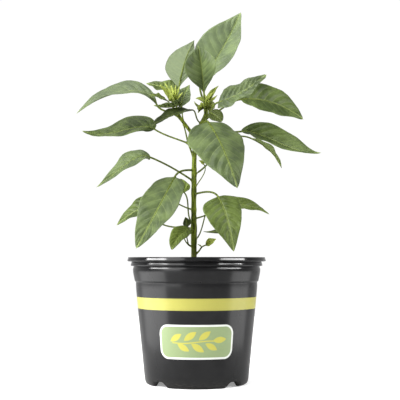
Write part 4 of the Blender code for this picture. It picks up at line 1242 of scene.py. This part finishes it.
for name, (young_leaves, buds) in SHOOTS.items():
    pieces = [young_leaf(f"{name}_{i}", i, *spec) for i, spec in enumerate(young_leaves)]
    bud_mesh = lines_mesh(name + "_buds", [[mm(*bud[:3])] for bud in buds], [bud[3] * MM for bud in buds])
    pieces.append(grown(name + "_buds", bud_tree, bud_mesh, {"Stretch": 1.35, "Material": BUD_SKIN}))
    for points, thick, thin in TWIGS.get(name, []):
        last = TWIG_STEPS - 1
        line = [smooth_line([mm(*p) for p in points], i / last) for i in range(TWIG_STEPS)]
        twig_girths = [(thick + (thin - thick) * i / last) * MM for i in range(TWIG_STEPS)]
        twig_mesh = lines_mesh(name + "_twig", [line], twig_girths)
        twig_form = {"Sides": 12, "Ridge": 0.0, "Material": STALK_SKIN}
        pieces.append(grown(name + "_twig", cane_tree, twig_mesh, twig_form))
    tuft = outwards(merged_into(pieces[0], pieces[1:]))
    tuft.name = name + "_tuft"
    hand_over(tuft, name)
    cell_says(tuft.name, "with", len(young_leaves), "young leaves and", len(buds), "buds")

# %% [markdown]
# ## The pot's plastic and print
#
# The pot is thin black plastic from a mould, with a satin gloss, a faint orange-peel skin and light
# scuffs. A yellow stripe is printed round it, and on its front a light green panel with a white rim
# and a plain yellow sprig. Paint on a turned body is easiest to place in unrolled coordinates, the
# distance round the wall and the height, so the material works these out from object coordinates.
# Each printed shape is a formula for its distance from the edge, which stays sharp at any size.

# %% Print masks
BODY_FOOT_Z, BODY_TOP_Z = 6.0 * MM, 83.6 * MM
BODY_FOOT_RADIUS, BODY_TOP_RADIUS = 42.7 * MM, 50.5 * MM
BAND_FOOT_Z, BAND_TOP_Z = 61.1 * MM, 70.4 * MM
LIP_FOOT_Z = 93.0 * MM
PANEL_HEIGHT_Z = 36.8 * MM
PANEL_HALF_WIDTH, PANEL_HALF_HEIGHT, PANEL_ROUNDING = 31.0 * MM, 13.4 * MM, 7.5 * MM
PANEL_RIM = 1.5 * MM
INK_EDGE = 0.12 * MM
# leaflets of the sprig: centre, angle, length and width on the panel
SPRIG = [
    ((-16.5, 3.4), 32, 11.0, 4.6), ((-10.5, -4.2), -30, 11.0, 4.6), ((-5.0, 4.6), 34, 12.0, 5.0),
    ((1.0, -4.4), -32, 12.0, 5.0), ((6.5, 5.0), 36, 11.5, 4.8), ((12.0, -3.6), -28, 11.0, 4.6),
    ((18.8, 1.6), 6, 11.5, 4.8),
]
# the sprig's stem: how long a wave is, how high, half its thickness, its middle and half its length
SPRIG_WAVE, SPRIG_SWING, SPRIG_HALF_THICK = 46.0 * MM, 0.9 * MM, 0.45 * MM
SPRIG_MIDDLE, SPRIG_HALF_LENGTH = -1.5 * MM, 18.0 * MM


def inked(distance):
    """1 inside a printed shape and 0 outside it, from the distance to its edge."""
    return 1.0 - distance.rising(-INK_EDGE, INK_EDGE)


def panel_distance(u, v):
    """Distance from the edge of the round-cornered panel, below 0 inside it."""
    x = abs(u) - (PANEL_HALF_WIDTH - PANEL_ROUNDING)
    y = abs(v) - (PANEL_HALF_HEIGHT - PANEL_ROUNDING)
    return x.most(0.0).joined(y.most(0.0)).long() + x.most(y).least(0.0) - PANEL_ROUNDING


def leaflet_distance(u, v, centre, angle, length, width):
    """Distance from a pointed oval, roughly in metres."""
    c, s = math.cos(math.radians(angle)), math.sin(math.radians(angle))
    x = u - centre[0] * MM
    y = v - centre[1] * MM
    along = (x * c + y * s) / (length / 2 * MM)
    off = abs(y * c - x * s)
    return off - (1.0 - along * along) * (width / 2 * MM)


def sprig_distance(u, v):
    """Distance from the nearest of the sprig's leaflets and its stem."""
    stem_off = abs(v - (u * (2 * math.pi / SPRIG_WAVE)).sin() * SPRIG_SWING) - SPRIG_HALF_THICK
    nearest = stem_off.most(abs(u - SPRIG_MIDDLE) - SPRIG_HALF_LENGTH)
    for leaflet in SPRIG:
        nearest = nearest.least(leaflet_distance(u, v, *leaflet))
    return nearest


cell_says("a sprig of", len(SPRIG), "leaflets")


# %% Pot plastic
BLACK, SATIN_BLACK = (0.0085, 0.0085, 0.009), (0.0125, 0.0125, 0.013)
SCUFFED, DUSTY = (0.022, 0.022, 0.022), (0.11, 0.10, 0.085)
STRIPE_INK, SPRIG_INK = (0.41, 0.39, 0.085), (0.50, 0.47, 0.09)
PANEL_INK, RIM_INK = (0.262, 0.335, 0.168), (0.70, 0.72, 0.68)
DUST_TOP_Z, LIP_GROWS = 9.0 * MM, 2.0 * MM


def pot_plastic():
    """Black plastic with scuffs, dust at its foot and the printed shapes."""
    made, shader, start = new_material("pot_plastic")
    place = start.node("ShaderNodeTexCoord", out="Object")
    x, y, z = place.part(0), place.part(1), place.part(2)
    radius = x.joined(y).long()
    u = x.math("ARCTAN2", y * -1.0) * ((BODY_FOOT_RADIUS + BODY_TOP_RADIUS) / 2)
    v = z - PANEL_HEIGHT_Z
    slope = (BODY_TOP_RADIUS - BODY_FOOT_RADIUS) / (BODY_TOP_Z - BODY_FOOT_Z)
    outside = radius > (z - BODY_FOOT_Z) * slope + (BODY_FOOT_RADIUS - 0.5 * MM)
    band_middle, band_half = (BAND_FOOT_Z + BAND_TOP_Z) / 2, (BAND_TOP_Z - BAND_FOOT_Z) / 2
    band = inked(abs(z - band_middle) - band_half) * outside
    edge = panel_distance(u, v)
    front = outside * (y < 0.0)
    rim = inked(edge) * front
    green = inked(edge + PANEL_RIM) * front
    sprig = inked(sprig_distance(u, v)) * green

    skin = place.noise(60.0, 3.0)
    peel = place.noise(420.0, 2.0)
    scuffs = x.joined(y, z * 6.0).noise(240.0, 4.0, 0.65)
    ink_wear = place.noise(700.0, 2.0) * 0.10 + 0.95
    dusty = (1.0 - z.rising(0.0, DUST_TOP_Z)) * (scuffs.rising(0.35, 0.7) * 0.22)
    colour = skin.rising(0.3, 0.7).between(BLACK, SATIN_BLACK)
    layers = (
        (scuffs.rising(0.60, 0.78) * 0.30, SCUFFED), (dusty, DUSTY), (band, STRIPE_INK), (rim, RIM_INK),
        (green, PANEL_INK), (sprig, SPRIG_INK),
    )
    for mask, paint in layers:
        colour = mask.between(colour, paint)
    printed = band.most(rim)
    colour = colour * printed.between(1.0, ink_wear)
    height = peel * 0.30 + skin * 0.8 + printed * 0.25
    lip = z.rising(LIP_FOOT_Z, LIP_FOOT_Z + LIP_GROWS)
    feed(
        shader,
        Base_Color=colour,
        Roughness=scuffs * 0.10 + printed * 0.08 - lip * 0.10 + 0.17,
        Normal=bumped(height, 0.20, 0.10 * MM),
        Specular_IOR_Level=0.26,
    )
    return made


POT_PLASTIC = pot_plastic()
cell_says("pot plastic of", len(POT_PLASTIC.node_tree.nodes), "nodes")

# %% [markdown]
# ## The pot
#
# A nursery pot is a body of revolution: one outline turned round an axis, up the outside, over the
# grooved collar and the lip and down the inside. The outline is drawn once with rounded corners, and
# a tree turns it by reading the outline's points row by row on a grid that is rolled up. The same
# tree lifts the foot into four low arches, which let water run out, and the drain holes are cut last.

# %% Draw the outline
def rounded(corners, steps=5):
    """Points along an outline of (radius, height, rounding) in millimetres, with its corners eased."""
    points = []
    for i, (r, z, ease) in enumerate(corners):
        here = Vector((r, z))
        if not ease or i in (0, len(corners) - 1):
            points.append(here)
            continue
        back = Vector(corners[i - 1][:2]) - here
        on = Vector(corners[i + 1][:2]) - here
        a = here + back.normalized() * min(ease, back.length * 0.48)
        b = here + on.normalized() * min(ease, on.length * 0.48)
        for k in range(steps + 1):
            t = k / steps
            points.append(a * (1 - t) ** 2 + here * (2 * t * (1 - t)) + b * t**2)
    return points


# corners from the middle of the underside, up the outside, over the lip and down the inside
POT_OUTLINE = [
    (0.0, 5.0, 0), (37.8, 5.0, 0.5), (38.2, 4.4, 0.3), (38.2, 0.0, 0.3), (40.4, 0.0, 0.4), (41.6, 0.9, 0.5),
    (42.3, 2.8, 1.0), (42.75, 6.0, 1.6), (49.75, 75.6, 3.0), (50.0, 79.2, 1.6), (50.0, 82.4, 0.4),
    (51.0, 83.4, 0.3), (51.3, 85.0, 0.5), (52.25, 89.4, 1.8), (52.5, 91.6, 0.8), (52.5, 93.2, 0.3),
    (52.3, 93.8, 0.15), (51.9, 95.1, 0.15), (52.2, 95.3, 0.15), (54.2, 95.6, 0.3), (54.35, 96.4, 0.2),
    (53.85, 98.1, 0.15), (53.6, 98.9, 0.3), (56.3, 99.2, 0.4), (57.1, 99.7, 0.3), (57.1, 100.1, 0.2),
    (56.55, 101.8, 0.12), (56.5, 102.6, 0.15), (54.6, 102.6, 0.5), (53.2, 102.3, 0.5), (53.0, 99.0, 1.0),
    (51.7, 95.0, 1.5), (50.1, 85.4, 1.5), (49.4, 83.6, 1.5), (41.6, 6.2, 1.0), (0.0, 6.2, 0),
]
outline = rounded(POT_OUTLINE)
outline_mesh = lines_mesh("pot_outline", [[Vector((p.x, 0, p.y)) * MM for p in outline]])
cell_says("an outline of", len(outline), "points")

# %% Turn it
turned_tree, turned_given = growing_tree(
    "turned",
    {
        "Columns": "Int", "Outline Points": "Int", "Notches": "Float", "Notch Height": "Float",
        "Notch Half Angle": "Float", "Foot Height": "Float", "Foot Radius": "Float", "Material": "Material",
    },
)
turned_start = turned_given["Geometry"]
wall, turn_share, rise = unit_grid(turned_start, turned_given["Columns"], turned_given["Outline Points"])
outline_place = turned_start.node("GeometryNodeInputPosition")
row = rise * (turned_given["Outline Points"] - 1.0) + 0.5
drawn = turned_start.node(
    "GeometryNodeSampleIndex",
    {"data_type": "FLOAT_VECTOR"},
    {"Geometry": turned_start, "Value": outline_place, "Index": row},
)
wall_radius, wall_z = drawn.part(0), drawn.part(2)
angle = turn_share * (2 * math.pi)
every = turned_given["Notches"] ** -1.0 * (2 * math.pi)
off_notch = abs(angle.math("MODULO", every) - every * 0.5) / turned_given["Notch Half Angle"]
arch = ((((off_notch - 0.25) / 0.75).most(0.0).least(1.0)) * math.pi).cos() * 0.5 + 0.5
notch = turned_given["Notch Height"]
foot = turned_given["Foot Height"]
raised = (wall_z + arch * notch * (1.0 - wall_z / foot)).least(wall_z.most(notch + wall_z * 0.1))
in_foot = (wall_z < foot) * (wall_radius > turned_given["Foot Radius"])
final_z = in_foot.between(wall_z, raised)
wall = placed(wall, (angle.cos() * wall_radius).joined(angle.sin() * wall_radius, final_z))
end_tree(turned_tree, welded(wall), turned_given["Material"])
pot = grown(
    "pot_moulding",
    turned_tree,
    outline_mesh,
    {
        "Columns": 193, "Outline Points": len(outline), "Notches": 4.0, "Notch Height": 4.4 * MM,
        "Notch Half Angle": math.radians(12.5), "Foot Height": 6.0 * MM, "Foot Radius": 38.15 * MM,
        "Material": POT_PLASTIC,
    },
)
outwards(pot)
cell_says("a pot of", len(pot.data.polygons), "faces")

# %% Cut the drain holes
DRAIN_RADIUS, DRAIN_RING, DRAIN_DEPTH, POT_FLOOR_Z = 4.0 * MM, 29.0 * MM, 8.0 * MM, 6.2 * MM
turns = [math.radians(a) for a in (45, 135, 225, 315)]
drains = [(0.0, 0.0)] + [(DRAIN_RING * math.cos(a), DRAIN_RING * math.sin(a)) for a in turns]
shape = bmesh.new()
for x, y in drains:
    made = bmesh.ops.create_cone(
        shape, cap_ends=True, segments=36, radius1=DRAIN_RADIUS, radius2=DRAIN_RADIUS, depth=DRAIN_DEPTH
    )
    bmesh.ops.translate(shape, vec=(x, y, POT_FLOOR_Z), verts=made["verts"])
cutter_mesh = bpy.data.meshes.new("drain_cutter")
cutter_mesh.materials.append(POT_PLASTIC)
shape.to_mesh(cutter_mesh)
shape.free()
cutter = bpy.data.objects.new("drain_cutter", cutter_mesh)
scene.collection.objects.link(cutter)
cut = pot.modifiers.new("drains", "BOOLEAN")
cut.operation = "DIFFERENCE"
cut.solver = "EXACT"
cut.object = cutter
kept(pot)
bpy.data.objects.remove(cutter)
pot.data.set_sharp_from_angle(angle=math.radians(40))
hand_over(pot, "pot")
cell_says(len(drains), "drain holes")

# %% [markdown]
# ## Potting mix
#
# The mix is peat with bark chips and white grains of perlite, which sit on its surface every which
# way. Thousands of crumbs would be tedious to place, and that is what scattering is for: a tree
# throws points over the bed at a least distance from each other, and sets a small lumpy crumb,
# turned and sized at random, at each. A fixed seed makes every run alike.

# %% Peat, bark and perlite
def crumbly(name, low, high, scale, roughness, depth):
    """A matt, grainy material between two colours."""
    made, shader, start = new_material(name)
    place = start.node("ShaderNodeTexCoord", out="Object")
    clumps = place.noise(scale, 4.0, 0.6)
    grains = place.noise(scale * 6.0, 2.0)
    colour = clumps.rising(0.32, 0.68).between(low, high)
    feed(
        shader,
        Base_Color=colour * (grains * 0.7 + 0.65),
        Roughness=grains * 0.1 + roughness,
        Normal=bumped(clumps + grains * 0.5, 0.8, depth),
    )
    return made


PEAT = crumbly("peat", (0.012, 0.008, 0.005), (0.045, 0.028, 0.017), 300.0, 0.85, 0.6 * MM)
BARK = crumbly("bark_chips", (0.050, 0.026, 0.012), (0.150, 0.085, 0.042), 240.0, 0.75, 0.3 * MM)
PERLITE = crumbly("perlite", (0.55, 0.54, 0.50), (0.80, 0.79, 0.76), 700.0, 0.80, 0.2 * MM)
cell_says("peat, bark and perlite")

# %% Shape the bed
SOIL_TOP_Z, SOIL_HOLE, SOIL_EDGE = 90.5 * MM, 2.2 * MM, 50.3 * MM
SOIL_SIDES, SOIL_RINGS = 120, 61
# how fine and how high, in millimetres, the mounds, the clods and the lumps are
SOIL_MOUNDS = ((70, 0.9), (230, 0.6), (620, 0.3))
# the bed below its rough top, as (radius, height), down the wall and up the hole
SOIL_WALL = [(50.45, 88.9), (49.6, 85.4), (48.9, 83.6), (41.2, 6.7), (SOIL_HOLE / MM, 6.7)]


def bed_height(x, y):
    """The rough top of the bed: low mounds, clods and a small heap round the stem."""
    radius = math.hypot(x, y)
    spot = Vector((x, y, 0.0))
    mounds = sum(noise_at(spot * fineness) * height for fineness, height in SOIL_MOUNDS)
    settle = min(1.0, max(0.0, (SOIL_EDGE - radius) / (4 * MM)))
    heap = math.exp(-((radius / (7 * MM)) ** 2)) * 1.4
    return SOIL_TOP_Z + (mounds * settle + heap - (1 - settle) * 0.8) * MM


def noise_at(place):
    """Smooth noise between -1 and 1 from a few sines, alike on every run."""
    x, y = place.x, place.y
    return (math.sin(x * 2.1 + 1.7 * math.sin(y * 1.3)) + math.sin(y * 2.4 + 1.9 * math.sin(x * 1.1 + 2))) / 2


def bed_ring(shift, radius, height_at):
    """One ring of the bed's points. Its middle is shifted towards the stem."""
    turns = [2 * math.pi * k / SOIL_SIDES for k in range(SOIL_SIDES)]
    places = [(shift + radius * math.cos(turn), radius * math.sin(turn)) for turn in turns]
    return [(x, y, height_at(x, y)) for x, y in places]


stem_foot = stem_line("main")[1]
points = []
for i in range(SOIL_RINGS):
    radius = SOIL_HOLE + (SOIL_EDGE - SOIL_HOLE) * (i / (SOIL_RINGS - 1))
    points += bed_ring(stem_foot.x * max(0.0, 1 - radius / (40 * MM)), radius, bed_height)
for radius, z in SOIL_WALL:
    at_hole = radius * MM <= SOIL_HOLE + 1e-9
    points += bed_ring(stem_foot.x if at_hole else 0.0, radius * MM, lambda x, y: z * MM)
ring_count = len(points) // SOIL_SIDES
faces = []
for i in range(ring_count):
    here, there = i * SOIL_SIDES, (i + 1) % ring_count * SOIL_SIDES
    for k in range(SOIL_SIDES):
        after = (k + 1) % SOIL_SIDES
        faces.append((here + k, there + k, there + after, here + after))
bed_mesh = bpy.data.meshes.new("potting_mix")
bed_mesh.from_pydata(points, [], faces)
bed_mesh.materials.append(PEAT)
bed_mesh.shade_smooth()
bed = bpy.data.objects.new("potting_mix", bed_mesh)
scene.collection.objects.link(bed)
outwards(bed)
cell_says("a bed of", len(faces), "faces")

# %% Scatter the crumbs
# how near the stem and the wall the crumbs lie, and a whole turn
ROUND_STEM, CRUMB_REACH, FULL_TURN = 4.2 * MM, 48.5 * MM, 6.28
crumb_tree, crumb_given = growing_tree(
    "crumbs",
    {
        "Material": "Material", "Spacing": "Float", "Density": "Float", "Smallest": "Float",
        "Largest": "Float", "Flatness": "Float", "Seed": "Int", "Fineness": "Int", "Reach": "Float",
    },
)
crumb_start = crumb_given["Geometry"]
crumb_place = crumb_start.node("GeometryNodeInputPosition")
crumb_normal = crumb_start.node("GeometryNodeInputNormal")
on_top = (crumb_normal.part(2) > 0.4) * (crumb_place.part(2) > SOIL_TOP_Z - 3 * MM)
off_centre = crumb_place.part(0).joined(crumb_place.part(1)).long()
in_reach = (off_centre < crumb_given["Reach"]) * (off_centre > ROUND_STEM)
spots = crumb_start.node(
    "GeometryNodeDistributePointsOnFaces",
    {"distribute_method": "POISSON"},
    {
        "Mesh": crumb_start,
        "Selection": on_top * in_reach,
        "Distance Min": crumb_given["Spacing"],
        "Density Max": crumb_given["Density"],
        "Seed": crumb_given["Seed"],
    },
)
ball = {"Radius": 1.0, "Subdivisions": crumb_given["Fineness"]}
lump = crumb_start.node("GeometryNodeMeshIcoSphere", inputs=ball)
lump_place = crumb_start.node("GeometryNodeInputPosition")
lumpy = lump_place * (lump_place.noise(1.3, 2.0) * 1.1 + 0.45) * (1.0, 0.75, 0.6)
size = crumb_start.node(
    "FunctionNodeRandomValue",
    {"data_type": "FLOAT"},
    {"Min": crumb_given["Smallest"], "Max": crumb_given["Largest"], "Seed": crumb_given["Seed"]},
)
spin = crumb_start.node(
    "FunctionNodeRandomValue",
    {"data_type": "FLOAT_VECTOR"},
    {"Min": (0.0,) * 3, "Max": (FULL_TURN,) * 3, "Seed": crumb_given["Seed"]},
)
stretch = size.joined(size, size * crumb_given["Flatness"])
scattered = crumb_start.node(
    "GeometryNodeInstanceOnPoints",
    inputs={"Points": spots, "Instance": placed(lump, lumpy), "Rotation": spin, "Scale": stretch},
)
end_tree(crumb_tree, scattered, crumb_given["Material"])
# the tree's inputs in their order: material, spacing, density, smallest, largest, flatness, seed, fineness
CRUMBS = {
    "bark": (BARK, 2.3 * MM, 260000.0, 0.7 * MM, 2.1 * MM, 0.45, 5, 2),
    "peat": (PEAT, 1.5 * MM, 420000.0, 0.5 * MM, 1.2 * MM, 0.8, 8, 1),
    "perlite": (PERLITE, 5.0 * MM, 24000.0, 0.6 * MM, 1.3 * MM, 0.85, 3, 2),
}
heaps = []
labels = [label for label in crumb_given if label != "Geometry"]
for name, values in CRUMBS.items():
    heap = grown(name + "_crumbs", crumb_tree, bed.data.copy(), dict(zip(labels, (*values, CRUMB_REACH))))
    cell_says(name, "crumbs of", len(heap.data.polygons), "faces")
    heaps.append(heap)
merged_into(bed, heaps)
hand_over(bed, "soil")

# %% [markdown]
# ## Compare the sizes
#
# The dressed plant has to stay as large as its solids, because those are what a physics engine
# holds and what a shelf must fit. The solids' box is printed at the start, and here the amount by
# which the dressed plant's box is larger.

# %% Compare the two boxes and finish
visual_box = [list(corner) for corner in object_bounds()]
grew = [round(((b[1] - b[0]) - (a[1] - a[0])) / MM, 2) for a, b in zip(zip(*cad_box), zip(*visual_box))]
print("the dressed plant is larger than its solids by", grew, "mm")
